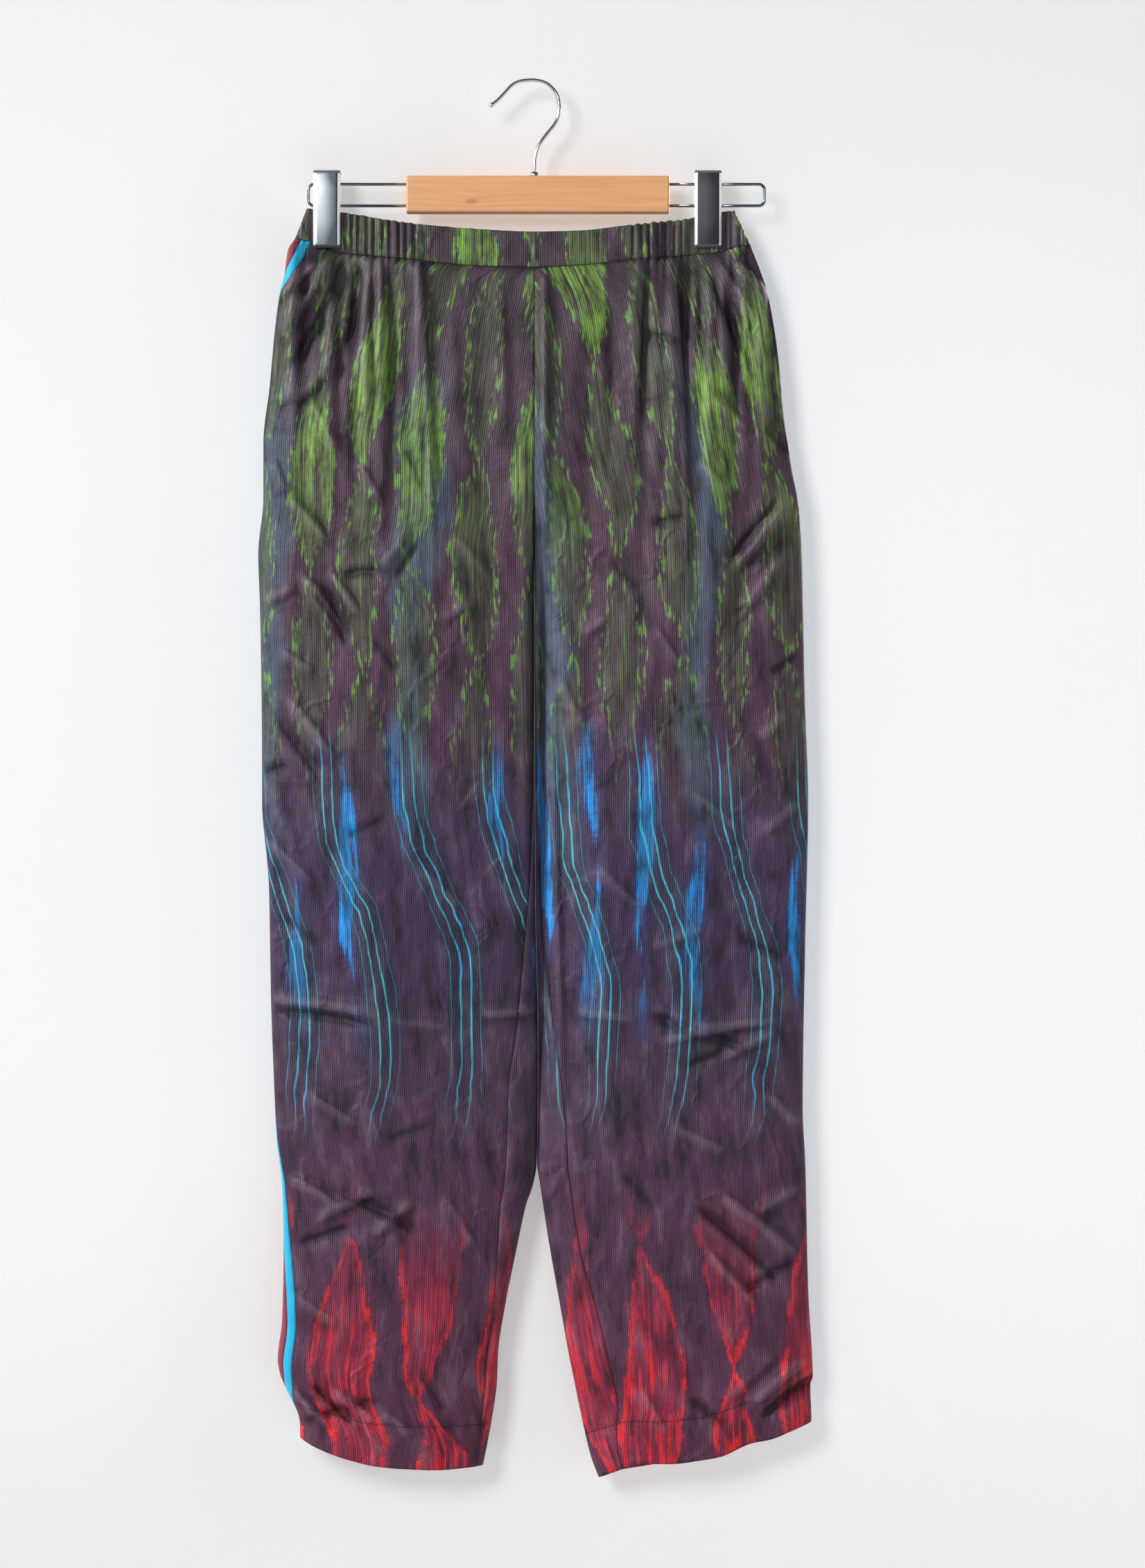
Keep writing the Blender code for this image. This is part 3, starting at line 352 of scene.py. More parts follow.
BACK_FOLDS = table(
    FOLDS,
    (-150, 100, -140, 420, 11, 2.6, 0), (-112, 100, -104, 460, 10, -2.6, 3),
    (-70, 100, -66, 380, 11, 2.6, 0), (-30, 100, -26, 300, 9, -2.2, 0),
    (34, 100, 30, 320, 10, 2.2, 0), (76, 100, 72, 420, 11, -2.6, -3),
    (116, 100, 112, 470, 11, 2.8, 0), (156, 110, 160, 400, 10, -2.4, 0),
    (-30, 330, -110, 440, 12, -2.8, 6), (34, 335, 112, 450, 12, -2.8, -6),
    (-36, 352, -104, 470, 8, 2.0, 6), (40, 356, 108, 476, 8, 2.0, -6),
    (-140, 460, -112, 880, 20, -2.2, 0), (-52, 500, -60, 860, 16, 2.2, 4),
    (62, 520, 70, 900, 17, -2.2, 0), (150, 500, 142, 880, 20, 2.2, -4),
    (-196, 300, -160, 350, 6, 2.0, 2), (-204, 420, -150, 400, 6, -2.0, 2),
    (-186, 470, -140, 520, 6, 2.0, 0), (-120, 420, -84, 390, 6, 1.8, 0),
    (200, 340, 158, 392, 6, 2.2, 2), (206, 452, 160, 430, 6, -1.8, 0),
    (90, 400, 120, 440, 6, 1.8, 0), (190, 520, 150, 560, 7, 1.8, 0),
    (-205, 735, -60, 744, 5, 2.4, 2), (-200, 743, -70, 752, 5, -1.8, 2),
    (70, 748, 205, 738, 5, 2.2, 2), (80, 770, 180, 752, 6, -2.0, 0),
    (-110, 770, -70, 748, 6, 1.6, 0), (-190, 800, -150, 826, 7, 1.6, 0),
    (-180, 900, -70, 940, 9, -2.4, 3), (-170, 880, -110, 912, 6, 2.0, 0),
    (90, 935, 205, 900, 9, -2.4, 3), (110, 950, 170, 924, 6, 2.0, 0),
    (60, 850, 110, 880, 8, 1.5, 0), (150, 830, 200, 810, 7, 1.5, 0),
    (-178, 1060, -90, 1030, 7, 2.2, 2), (-150, 1030, -120, 1066, 5, -1.8, 0),
    (96, 1040, 200, 1066, 7, 2.2, 2), (150, 1020, 190, 1050, 6, -1.8, 0))
# The dark side of each pleat is on the viewer's right.
PLEATS = table(
    "x1 down1 x2 down2 bend height climb drop",
    (-120, 132, -118, 300, 0, 2.8, 9, 3.0), (-91, 132, -78, 450, 4, 4.4, 8, 2.6),
    (87, 132, 79, 300, 1, 3.8, 7, 2.4), (112, 132, 123, 510, 3, 5.0, 11, 3.4),
    (10, 152, 10, 440, 0, 4.6, 8, 3.2))
print(len(FRONT_FOLDS["x1"]), "folds in front,", len(BACK_FOLDS["x1"]), "at the back,",
      len(PLEATS["x1"]), "pleats")

# %% [markdown]
# ## From a line to a hill
#
# Each line of a table becomes a long low hill that is tapered at both ends. A broad fold is the
# same on both sides. A crease is steep on the side away from the light and long on the other, as
# where crepe was pressed flat in its packing.

# %% Height of the folds
FOLD_START_TAPER, FOLD_END_TAPER = 0.25, 0.3
PLEAT_START_TAPER, PLEAT_END_TAPER = 0.04, 0.6
CREST_POWER = 1.6
CREASE_WIDTH = 9.0
CREASE_STRENGTH, FOLD_STRENGTH = 2.1, 1.6
STEEP_FLANK, LONG_FLANK = 0.45, 1.35
LIGHT_RUN = (0.92, 0.39)


def beside_line(folds, i, x, down):
    """Share of the way along line i of a table, and the distance to the viewer's right of it.
    A bend bows the line out by 4 x bend x run x (1 - run)."""
    start = np.array((folds["x1"][i], folds["down1"][i]))
    along = np.array((folds["x2"][i], folds["down2"][i])) - start
    length = math.hypot(*along)
    unit = along / length
    run = ((x - start[0]) * unit[0] + (down - start[1]) * unit[1]) / length
    aside = (x - start[0]) * unit[1] - (down - start[1]) * unit[0]
    return run, aside - 4 * folds["bend"][i] * run * (1 - run)


def taper(run):
    """A smooth step up over the first quarter of the line and down over the last 0.3 of it."""
    return smooth_step(run / FOLD_START_TAPER) * smooth_step((1 - run) / FOLD_END_TAPER)


def flank_width(folds, i, aside):
    """Width of the flank that a point lies on. A fold under 9 mm wide is a crease: the flank in
    its own shade is 0.45 times its width, and the flank in the light 1.35 times."""
    width = folds["width"][i]
    if width >= CREASE_WIDTH:
        return width
    facing = (LIGHT_RUN[0] * (folds["down2"][i] - folds["down1"][i])
              - LIGHT_RUN[1] * (folds["x2"][i] - folds["x1"][i])) * folds["height"][i]
    return width * np.where(aside * facing > 0, STEEP_FLANK, LONG_FLANK)


def fold_height(x, down, folds):
    """Sum over the table of strength x height x taper x exp(-|distance / flank width|^1.6). The
    power below 2 gives a crest that is a little sharp, as a crease in crepe is."""
    total = np.zeros_like(x)
    for i in range(len(folds["x1"])):
        run, aside = beside_line(folds, i, x, down)
        strength = CREASE_STRENGTH if folds["width"][i] < CREASE_WIDTH else FOLD_STRENGTH
        crest = np.exp(-np.abs(aside / flank_width(folds, i, aside)) ** CREST_POWER)
        total += strength * folds["height"][i] * taper(run) * crest
    return total


def pleat_height(x, down):
    """A climb of e^(distance / climb) up to the pleat's edge, then a drop as a smooth step."""
    total = np.zeros_like(x)
    for i in range(len(PLEATS["x1"])):
        run, aside = beside_line(PLEATS, i, x, down)
        climb = np.exp(np.minimum(aside, 0) / PLEATS["climb"][i])
        drop = 1 - smooth_step(aside / PLEATS["drop"][i])
        fade = smooth_step(run / PLEAT_START_TAPER) * smooth_step((1 - run) / PLEAT_END_TAPER)
        total += PLEATS["height"][i] * fade * climb * drop
    return total


print(int((FRONT_FOLDS["width"] < CREASE_WIDTH).sum()), "of the folds in front are creases")

# %% [markdown]
# ## Gathers at the waist
#
# Elastic in the band pulls the cloth into narrow furrows. They are unevenly spaced, so their
# places are listed. In front the middle of the band is flat, and at the back the furrows run
# right across. Below the band each furrow opens and fades out.

# %% Gathers
FRONT_FURROWS = np.array((
    -185, -180.5, -149, -142.5, -137.5, -130.5, -125, -117.5, -112.5, -105, -99.5, -92.5,
    80, 86.5, 92, 99.5, 105, 112.5, 118, 124, 153, 158, 164.5, 170))
EVEN_FURROWS = np.arange(-184, 172, 6.6)
BACK_FURROWS = EVEN_FURROWS + 1.6 * np.sin(EVEN_FURROWS * 0.37) + 0.8 * np.sin(EVEN_FURROWS * 1.13)
FURROW_WIDTH, FURROW_OPENING = 1.7, 0.02
FLAT_FRONT, FLAT_FADE = (-84, 74), 9
ROLL_HEIGHT, ROLL_FADE = 2.8, 17.0
HANG_REACH = 60
# Wide waves below the band: pitch, strength and reach of their wander, and height.
FULLNESS = ((33.0, 0.9, 41.0, 2.6), (15.0, 1.1, 23.0, 1.3))


def rolls(x, places, width):
    """1 - exp(-(distance / width)^2) from the nearest furrow: 0 in its bottom and nearly 1 on
    the roll between two."""
    away = np.min(np.abs(x[..., None] - places), axis=-1)
    return 1 - np.exp(-(away / width) ** 2)


def gather_height(x, down, on_back):
    """Roll height x e^(-below / fade), plus wide waves that swell and fade below the band."""
    below = np.maximum(down - waist_line(x, "seam"), 0)
    gathered = np.where(on_back, 1, smooth_step((FLAT_FRONT[0] - x) / FLAT_FADE)
                        + smooth_step((x - FLAT_FRONT[1]) / FLAT_FADE))
    width = FURROW_WIDTH + FURROW_OPENING * below
    close = np.where(on_back, rolls(x, BACK_FURROWS, width), rolls(x, FRONT_FURROWS, width))
    uneven = 0.8 + 0.25 * np.sin(x / 5.3) * np.sin(down / 9.0 + x / 11.0)
    total = ROLL_HEIGHT * close * uneven * np.exp(-below / ROLL_FADE)
    hang = below / HANG_REACH * np.exp(1 - below / HANG_REACH)
    for pitch, strength, reach, height in FULLNESS:
        wave = np.sin(2 * math.pi * x / pitch + strength * np.sin(x / reach) + 1.0 * on_back)
        total = total + height * wave * hang
    return gathered * total


print(len(FRONT_FURROWS), "furrows in front,", len(BACK_FURROWS), "at the back")

# %% [markdown]
# ## Relief: everything that stands out from the plain form
#
# The relief moves the cloth to the front or the back only. It dies out at the thin edges and
# under the clips, and the front never sinks into the back. All panels read the same relief, so
# two edges that meet at a seam move together.

# %% Relief
SEAM_SINK, SINK_REACH = 0.6, 2.2
FOLDS_START = 7
HEM_DEPTH = 33.0
STITCH_SINK, STITCH_REACH = 0.8, 1.8
PUCKER_HEIGHT, PUCKER_REACH = 0.4, 9
HALF_CLEAR = 1.2
STILL_EDGE, EDGE_FADE = 0.6, 3.0
JAW_FOOT = 132.5
JAW_FADE, JAW_FOOT_FADE = 6, 14


def under_jaw(x, down):
    """1 where a jaw presses on the cloth, fading over 6 mm beside it and 14 mm below it."""
    below = smooth_step((down - JAW_FOOT - 2) / JAW_FOOT_FADE)
    held = np.zeros_like(x)
    for clip_x in CLIP_X:
        away = np.abs(x - clip_x) - CLIP_WIDTH / 2 - JAW_MARGIN
        held = np.maximum(held, 1 - smooth_step(away / JAW_FADE))
    return held * (1 - below)


def unevenness(x, down):
    """Two products of slow waves, so that no stretch of the cloth is quite flat."""
    broad = np.sin(x / 13 + 1.3 * np.sin(down / 31))
    close = np.sin(x / 6.1 + 1.7 * np.sin(down / 19))
    return (0.55 * broad * np.sin(down / 37 + 0.8 * np.sin(x / 23))
            + 0.35 * close * np.sin(down / 17 + np.sin(x / 9)))


def relief(x, y, down, row, on_back):
    """Folds + pleats + gathers + the hem's pucker, less the sink at the band's seam and at the
    hem's stitches. It fades out near the middle plane, where the cloth is under 3.6 mm from it,
    and under the jaws, and it never pushes a side past the middle."""
    below = down - waist_line(x, "seam")
    folds = np.where(on_back, fold_height(x, down, BACK_FOLDS),
                     fold_height(x, down, FRONT_FOLDS) + pleat_height(x, down))
    folds = (folds + unevenness(x, down)) * smooth_step((below + 1) / FOLDS_START)
    sink = SEAM_SINK * np.exp(-(below / SINK_REACH) ** 2)
    from_stitch = NOMINAL_HEM - row - HEM_DEPTH
    hem_stitch = STITCH_SINK * np.exp(-(from_stitch / STITCH_REACH) ** 2)
    pucker = (PUCKER_HEIGHT * np.sin(x / 1.9 + np.sin(x / 7))
              * np.exp(-(from_stitch / PUCKER_REACH) ** 2))
    height = folds + gather_height(x, down, on_back) + pucker - sink - hem_stitch
    free = smooth_step((np.abs(y) - STILL_EDGE) / EDGE_FADE) * (1 - under_jaw(x, down))
    return np.maximum(free * height, -np.maximum(np.abs(y) - HALF_CLEAR, 0))


print("the hem's stitches are", HEM_DEPTH, "mm above its edge")

# %% [markdown]
# ## Laying cloth on the form
#
# A tape measure laid round the section gives the length of cloth to each point. A panel starts
# at one seam and ends at the next, and its threads are evenly spaced along the tape, as in
# woven cloth. To read every row's tape at once, the tapes are laid end to end.

# %% Tapes
SEAM_GROOVE, SEAM_ROLL = 0.55, 1.3
GROOVE_START, GROOVE_FADE = 1.5, 2
STRIPE_FRONT_WIDTH = 7.5
STRIPE_BACK_WIDTH = 12.0
BAND_SIDE_SEAM = -1.5
BAND_ABOVE_HEM = 900.0
FAR_APART = 1e4
# The angles of a section, dense, and running a little past both ends of a panel.
FRONT_TURNS = np.linspace(-1.7, math.pi, 600)
BACK_TURNS = np.concatenate([np.linspace(math.pi - 1.3, math.pi, 150, endpoint=False),
                             np.linspace(math.pi, 2 * math.pi + 0.5, 600)])


def read_along(at, tape, values):
    """Values at lengths along each row's tape, with the rows' tapes laid end to end."""
    apart = FAR_APART * np.arange(len(tape))[:, None]
    found = np.interp((at + apart).ravel(), (tape + apart).ravel(), values.ravel())
    return found.reshape(at.shape)


def trace(side, rows, on_front):
    """The sections of all rows, and for each the length of cloth from the outer edge (front)
    or from the inner edge (back)."""
    turns = (FRONT_TURNS if on_front else BACK_TURNS)[None, :]
    on_back = (turns < 0) if on_front else (turns > math.pi) & (turns < 2 * math.pi)
    x, y, down = half_section(side, turns, rows[:, None], on_back)
    on_back = np.broadcast_to(on_back, x.shape)
    steps = np.hypot(np.diff(x, axis=1), np.diff(y, axis=1))
    tape = np.concatenate([np.zeros((len(rows), 1)), np.cumsum(steps, axis=1)], axis=1)
    zero = np.searchsorted(turns[0], 0 if on_front else math.pi)
    return {"tape": tape - tape[:, zero:zero + 1], "x": x, "y": y, "down": down,
            "back": on_back.astype(float)}


def round_back(traced):
    """Length of cloth from the inner edge round the back to the outer edge."""
    outer = np.searchsorted(BACK_TURNS, 2 * math.pi)
    return traced["tape"][:, outer:outer + 1]


def seam_places(side, rows):
    """Length of cloth from the outer edge to the side seam, and from the inner edge to the
    inseam."""
    edge_down = row_down(side, np.zeros_like(rows), rows, False)
    inner_down = row_down(side, np.ones_like(rows), rows, False)
    side_seam = smooth_curve(edge_down, SIDE_SEAM["down"], SIDE_SEAM[side])
    inseam = smooth_curve(inner_down, INSEAM["down"], INSEAM[side])
    return side_seam[:, None], np.where(rows >= CROTCH_DOWN, inseam, 0)[:, None]


def lay(traced, start, finish, columns, rows, on_band=False):
    """Points of a grid between two seams, and their place on the cloth: across, down and
    height above the hem, in metres. Two panels meet edge to edge, and the seam rolls both
    edges in by a groove of e^-(distance / roll)^2."""
    at = start + (finish - start) * np.linspace(0, 1, columns)[None, :]
    x, y, down, back = (read_along(at, traced["tape"], traced[key])
                        for key in ("x", "y", "down", "back"))
    on_back = back > 0.5
    row = np.broadcast_to(rows[:, None], x.shape)
    from_seam = np.minimum(np.abs(at - start), np.abs(finish - at))
    groove = (SEAM_GROOVE * np.exp(-(from_seam / SEAM_ROLL) ** 2)
              * smooth_step((np.abs(y) - GROOVE_START) / GROOVE_FADE))
    groove = groove * (0 if on_band else 1)
    y = y + np.where(on_back, 1, -1) * (relief(x, y, down, row, on_back) - groove)
    above_hem = np.where(on_band, BAND_ABOVE_HEM, NOMINAL_HEM - row)
    return (np.stack([x, y, -down], axis=-1) * MM,
            np.stack([at, down, above_hem], axis=-1) * MM)


print(len(FRONT_TURNS), "points on each front tape,", len(BACK_TURNS), "on each back tape")

# %% [markdown]
# ## From a grid to a mesh
#
# A grid of points becomes a mesh with one four-sided face to each cell. The place on the cloth
# goes in as an attribute called "cloth", so that the weave and the print follow the fabric
# round the edges. A second one, "hollow", says how deep a point lies between its neighbours,
# so that the material can paint shade into the bottom of a crease and a highlight on its crest.
# Solidify then gives the sheet its thickness, inwards.

# %% Mesh helpers
HOLLOW_PASSES = 50


def link_mesh(name, points, faces):
    """A smooth mesh from points in metres and the corner numbers of its faces."""
    mesh = bpy.data.meshes.new(name)
    mesh.from_pydata(np.asarray(points).reshape(-1, 3), [], faces)
    mesh.shade_smooth()
    made = bpy.data.objects.new(name, mesh)
    bpy.context.scene.collection.objects.link(made)
    return made


def grid_faces(rows, columns, wrap_rows=False, wrap_columns=False):
    """Corner numbers of each cell: this row, the next row, the next column."""
    number = np.arange(rows * columns).reshape(rows, columns)
    number = np.hstack([number, number[:, :1]]) if wrap_columns else number
    number = np.vstack([number, number[:1]]) if wrap_rows else number
    return np.stack([number[:-1, :-1], number[1:, :-1], number[1:, 1:], number[:-1, 1:]],
                    axis=-1).reshape(-1, 4)


def hollow_depth(points):
    """Depth in millimetres below the mean of the points around. The mean is taken by passes,
    each of which adds an eighth of the four neighbours to half of the point."""
    height = np.abs(points[..., 1]) / MM
    level = height
    for _ in range(HOLLOW_PASSES):
        wide = np.pad(level, 1, mode="edge")
        around = wide[:-2, 1:-1] + wide[2:, 1:-1] + wide[1:-1, :-2] + wide[1:-1, 2:]
        level = level / 2 + around / 8
    return level - height


def add_sheet(name, points, cloth, turned, thickness):
    """A sheet of cloth. Its columns must run to the right as seen from outside, so a turned
    one is reversed first."""
    if turned:
        points, cloth = points[:, ::-1], cloth[:, ::-1]
    rows, columns = points.shape[:2]
    made = link_mesh(name, points, grid_faces(rows, columns).tolist())
    place = made.data.attributes.new("cloth", "FLOAT_VECTOR", "POINT")
    place.data.foreach_set("vector", np.ascontiguousarray(cloth, dtype=np.float32).ravel())
    hollow = made.data.attributes.new("hollow", "FLOAT", "POINT")
    hollow.data.foreach_set("value", hollow_depth(points).astype(np.float32).ravel())
    wall = made.modifiers.new("thickness", "SOLIDIFY")
    wall.thickness = thickness * MM
    wall.offset = -1
    across = np.linalg.norm(np.diff(points, axis=1), axis=-1).sum(axis=1)
    length = np.linalg.norm(np.diff(points, axis=0), axis=-1).sum(axis=0)
    corner = np.cross(points[1:, 1:] - points[:-1, :-1], points[1:, :-1] - points[:-1, 1:])
    area = np.linalg.norm(corner, axis=-1).sum() / 2
    print(f"{name}: {rows} x {columns}, {across.max():.3f} m wide, {length.max():.3f} m long, "
          f"{area:.4f} m2")
    return made


print("a grid of 3 x 4 points has", len(grid_faces(3, 4)), "faces")

# %% [markdown]
# ## The four leg panels
#
# A maker cuts two fronts and two backs. Each front runs from the side seam to the centre seam
# and then down the inseam. Each back comes round the inner edge of the leg and runs to the side
# stripes.

# %% Leg panels
PANEL_ROWS = np.linspace(NOMINAL_WAIST, NOMINAL_HEM, 366)
PANEL_COLUMNS = 120
PANEL_THICKNESS = 0.7
PRINT_SHIFT = {"front_left": 0.02, "front_right": 0.47, "back_left": 0.71, "back_right": 1.16}


def place_print(cloth, name, tape_to_left):
    """Each panel is cut from its own stretch of the printed cloth. The print's across always
    runs to the viewer's right, so it counts down where the tape runs to the left."""
    moved = cloth.copy()
    moved[..., 0] = PRINT_SHIFT[name] + (-1 if tape_to_left else 1) * cloth[..., 0]
    return moved


cloth_pieces = {}
for side in ("left", "right"):
    side_seam, inseam = seam_places(side, PANEL_ROWS)
    front, back = trace(side, PANEL_ROWS, True), trace(side, PANEL_ROWS, False)
    to_stripes = round_back(back) + side_seam - STRIPE_FRONT_WIDTH - STRIPE_BACK_WIDTH
    for part, traced, first, last, tape_to_left in (
            ("front_", front, side_seam, front["tape"][:, -1:] - inseam, side == "right"),
            ("back_", back, -inseam, to_stripes, side == "left")):
        name = part + side
        points, cloth = lay(traced, first, last, PANEL_COLUMNS, PANEL_ROWS)
        cloth_pieces[name] = add_sheet("panel_" + name, points,
                                       place_print(cloth, name, tape_to_left),
                                       side == "right", PANEL_THICKNESS)

# %% [markdown]
# ## The side stripes
#
# Two plain strips run down each leg behind the side seam: a narrow turquoise one and a wider
# maroon one. They show in front only where the leg is turned a little.

# %% Side stripes
for side in ("left", "right"):
    side_seam, _ = seam_places(side, PANEL_ROWS)
    traced = trace(side, PANEL_ROWS, True)
    for part, near, far, columns in (("stripe_front_", 0, STRIPE_FRONT_WIDTH, 6),
                                     ("stripe_back_", STRIPE_FRONT_WIDTH,
                                      STRIPE_FRONT_WIDTH + STRIPE_BACK_WIDTH, 9)):
        points, cloth = lay(traced, side_seam - far, side_seam - near, columns, PANEL_ROWS)
        cloth_pieces[part + side] = add_sheet("side_" + part + side, points, cloth,
                                              side == "right", PANEL_THICKNESS)

# %% [markdown]
# ## The waistband
#
# The band is a straight strip with elastic in it. It is laid across both halves in one piece
# for the front and one for the back. Each furrow draws its top edge down a little, which gives
# the finely scalloped edge.

# %% Waistband
BAND_ROWS = -np.linspace(1.0, 0.012, 26)
BAND_COLUMNS = 190
BAND_THICKNESS = 1.3
SCALLOP = 0.8
SCALLOP_FROM, SCALLOP_RISE = 0.7, 0.3
STRAIGHT_TOP, STRAIGHT_FADE = (-90, 80), 12
BAND_PRINT_SHIFT = {"waistband_front": 1.4, "waistband_back": 1.9}


def band_half(side, on_back):
    """The band's grid over one half, from the outer end to the centre."""
    traced = trace(side, BAND_ROWS, not on_back)
    if on_back:
        first = round_back(traced) + BAND_SIDE_SEAM
        last = np.zeros_like(first)
    else:
        last = traced["tape"][:, -1:]
        first = np.full_like(last, BAND_SIDE_SEAM)
    return lay(traced, first, last, BAND_COLUMNS, BAND_ROWS, True)


for name, on_back, places in (("waistband_front", False, FRONT_FURROWS),
                              ("waistband_back", True, BACK_FURROWS)):
    left_points, left_cloth = band_half("left", on_back)
    right_points, right_cloth = band_half("right", on_back)
    points = np.concatenate([left_points[:, :-1], right_points[:, ::-1]], axis=1)
    cloth = np.concatenate([left_cloth[:, :-1], right_cloth[:, ::-1]], axis=1)
    cloth[..., 0] = points[..., 0] + BAND_PRINT_SHIFT[name]
    x = points[..., 0] / MM
    near_top = smooth_step((-BAND_ROWS[:, None] - SCALLOP_FROM) / SCALLOP_RISE)
    sag = (rolls(x, places, FURROW_WIDTH) - 1) * near_top
    sag = sag * (1 - under_jaw(x, -points[..., 2] / MM))
    if not on_back:
        straight = (smooth_step((x - STRAIGHT_TOP[0]) / STRAIGHT_FADE)
                    * smooth_step((STRAIGHT_TOP[1] - x) / STRAIGHT_FADE))
        sag = sag * (1 - straight)
    points[..., 2] += SCALLOP * MM * sag
    cloth_pieces[name] = add_sheet(name + "_sheet", points, cloth, on_back, BAND_THICKNESS)

# %% [markdown]
# ## The hanger's round wires
#
# The hook and the loops are bent steel wire. A tube is a circle carried along a path: at each
# ring the circle stands square to the path.

# %% Tubes
HOOK_PATH = table(
    "x down",
    (-32.2, 18.4), (-28.5, 15.6), (-25, 12.2), (-20.4, 7.2), (-15, 1.8), (-8.8, -0.7),
    (0, -1.5), (9.3, 0.2), (16.4, 5.4), (20.4, 12.2), (21.6, 20.8), (20.4, 28.6),
    (18.1, 33.2), (12.8, 39.8), (8, 46.2), (4.9, 51.4), (3, 57.4), (1.9, 65), (1.7, 74))
BAR_TOP, BAR_LEFT, BAR_RIGHT = 75.3, -100.1, 108.9
HOOK_FOOT_X, HOOK_FOOT_TOP = 1.7, 75
HOOK_STEPS, HOOK_SMOOTHING = 150, 7
HOOK_RADIUS, BALL_RADIUS, WIRE_RADIUS = 1.5, 2.2, 1.2
UNDER_BALL = 3
BEND_STEPS = 12
WIRE_DOWN = (81.4, 98.5)
WIRE_ENDS = (-177.6, 184.2)
WIRE_CORNER = 4.5
IN_BAR = 14.0


def close_outwards(made):
    """Point a closed mesh's faces outwards."""
    shape = bmesh.new()
    shape.from_mesh(made.data)
    bmesh.ops.recalc_face_normals(shape, faces=shape.faces)
    shape.to_mesh(made.data)
    shape.free()
    return made


def add_tube(name, path, radii, sides=20):
    """Point = place on the path + radius x (cos angle x the way square to it + sin angle x Y)."""
    run = np.gradient(path, axis=0)
    run /= np.linalg.norm(run, axis=1)[:, None]
    square = np.stack([-run[:, 1], run[:, 0]], axis=1)
    angle = 2 * math.pi * np.arange(sides) / sides
    flat = path[:, None] + radii[:, None, None] * np.cos(angle)[None, :, None] * square[:, None]
    deep = radii[:, None] * np.sin(angle)[None, :]
    points = np.stack([flat[..., 0], deep, -flat[..., 1]], axis=-1) * MM
    faces = grid_faces(len(path), sides, wrap_columns=True).tolist()
    last = (len(path) - 1) * sides
    faces += [list(range(sides)), list(range(last, last + sides))]
    made = close_outwards(link_mesh(name, points, faces))
    print(f"{name}: {len(path)} rings")
    return made


known = np.stack([HOOK_PATH["x"], HOOK_PATH["down"]], axis=1)
chord = np.concatenate([[0], np.cumsum(np.linalg.norm(np.diff(known, axis=0), axis=1))])
along = np.linspace(0, chord[-1], HOOK_STEPS)
line = np.stack([smooth_curve(along, chord, known[:, i]) for i in range(2)], axis=1)
# A running mean takes the last unevenness out of the bend.
kernel = np.ones(HOOK_SMOOTHING) / HOOK_SMOOTHING
padded = np.pad(line, ((HOOK_SMOOTHING // 2,) * 2, (0, 0)), mode="reflect", reflect_type="odd")
line = np.stack([np.convolve(padded[:, i], kernel, mode="valid") for i in range(2)], axis=1)
foot = np.stack([np.full(BEND_STEPS, HOOK_FOOT_X),
                 np.linspace(HOOK_FOOT_TOP, BAR_TOP + IN_BAR, BEND_STEPS)], axis=1)
# A small ball closes the hook's free end.
way = (line[0] - line[1]) / np.linalg.norm(line[0] - line[1])
ball_angle = np.radians(np.linspace(88, -40, BEND_STEPS))
ball = line[0] + BALL_RADIUS * np.sin(ball_angle)[:, None] * way
hook_path = np.concatenate([ball, line[UNDER_BALL:], foot])
hook_radii = np.concatenate([BALL_RADIUS * np.cos(ball_angle),
                             np.full(len(hook_path) - len(ball), HOOK_RADIUS)])
hook = add_tube("steel_hook", hook_path, hook_radii)


def loop_path(end_x, inner_x):
    """Out of the bar, round two corners of a quarter circle each, and back."""
    way = math.copysign(1, end_x - inner_x)
    centre_x = end_x - way * WIRE_CORNER
    angle = np.radians(np.linspace(90, 0, BEND_STEPS))
    upper = np.stack([centre_x + way * WIRE_CORNER * np.cos(angle),
                      WIRE_DOWN[0] + WIRE_CORNER * (1 - np.sin(angle))], axis=1)
    lower = np.stack([upper[::-1, 0], sum(WIRE_DOWN) - upper[::-1, 1]], axis=1)
    return np.concatenate([[[inner_x, WIRE_DOWN[0]]], upper, lower, [[inner_x, WIRE_DOWN[1]]]])


loops = {}
for side, end_x, inner_x in (("left", WIRE_ENDS[0], BAR_LEFT + IN_BAR),
                             ("right", WIRE_ENDS[1], BAR_RIGHT - IN_BAR)):
    path = loop_path(end_x, inner_x)
    loops[side] = add_tube("wire_loop_" + side, path, np.full(len(path), WIRE_RADIUS))

# %% [markdown]
# ## The clips and the collar
#
# Each clip has two steel jaws: a plate with sloping edges all round. A rounded rectangle is
# carried through a short list of insets and depths, as if a mason dressed a slab's edge. The
# collar at the hook's foot is turned on a lathe, from a list of radii and heights.

# %% Clips and collar
CLIP_TOP, CLIP_HEIGHT = 71.0, 61.5
JAW_GAP, JAW_CORNER = 0.3, 1.2
JAW_SHARP, COLLAR_SHARP = math.radians(20), math.radians(35)
COLLAR_SIDES = 28
COLLAR_PROFILE = np.array(((1.8, 0.3), (3.2, 0.3), (3.6, 0.7), (3.6, 2.6), (3.2, 3.3), (1.8, 3.3)))
JAW_PROFILE = ((0.5, 0.0), (0.0, 0.35), (0.0, 1.5), (0.15, 1.8), (2.25, 3.95), (2.5, 4.15),
               (2.9, 4.2))


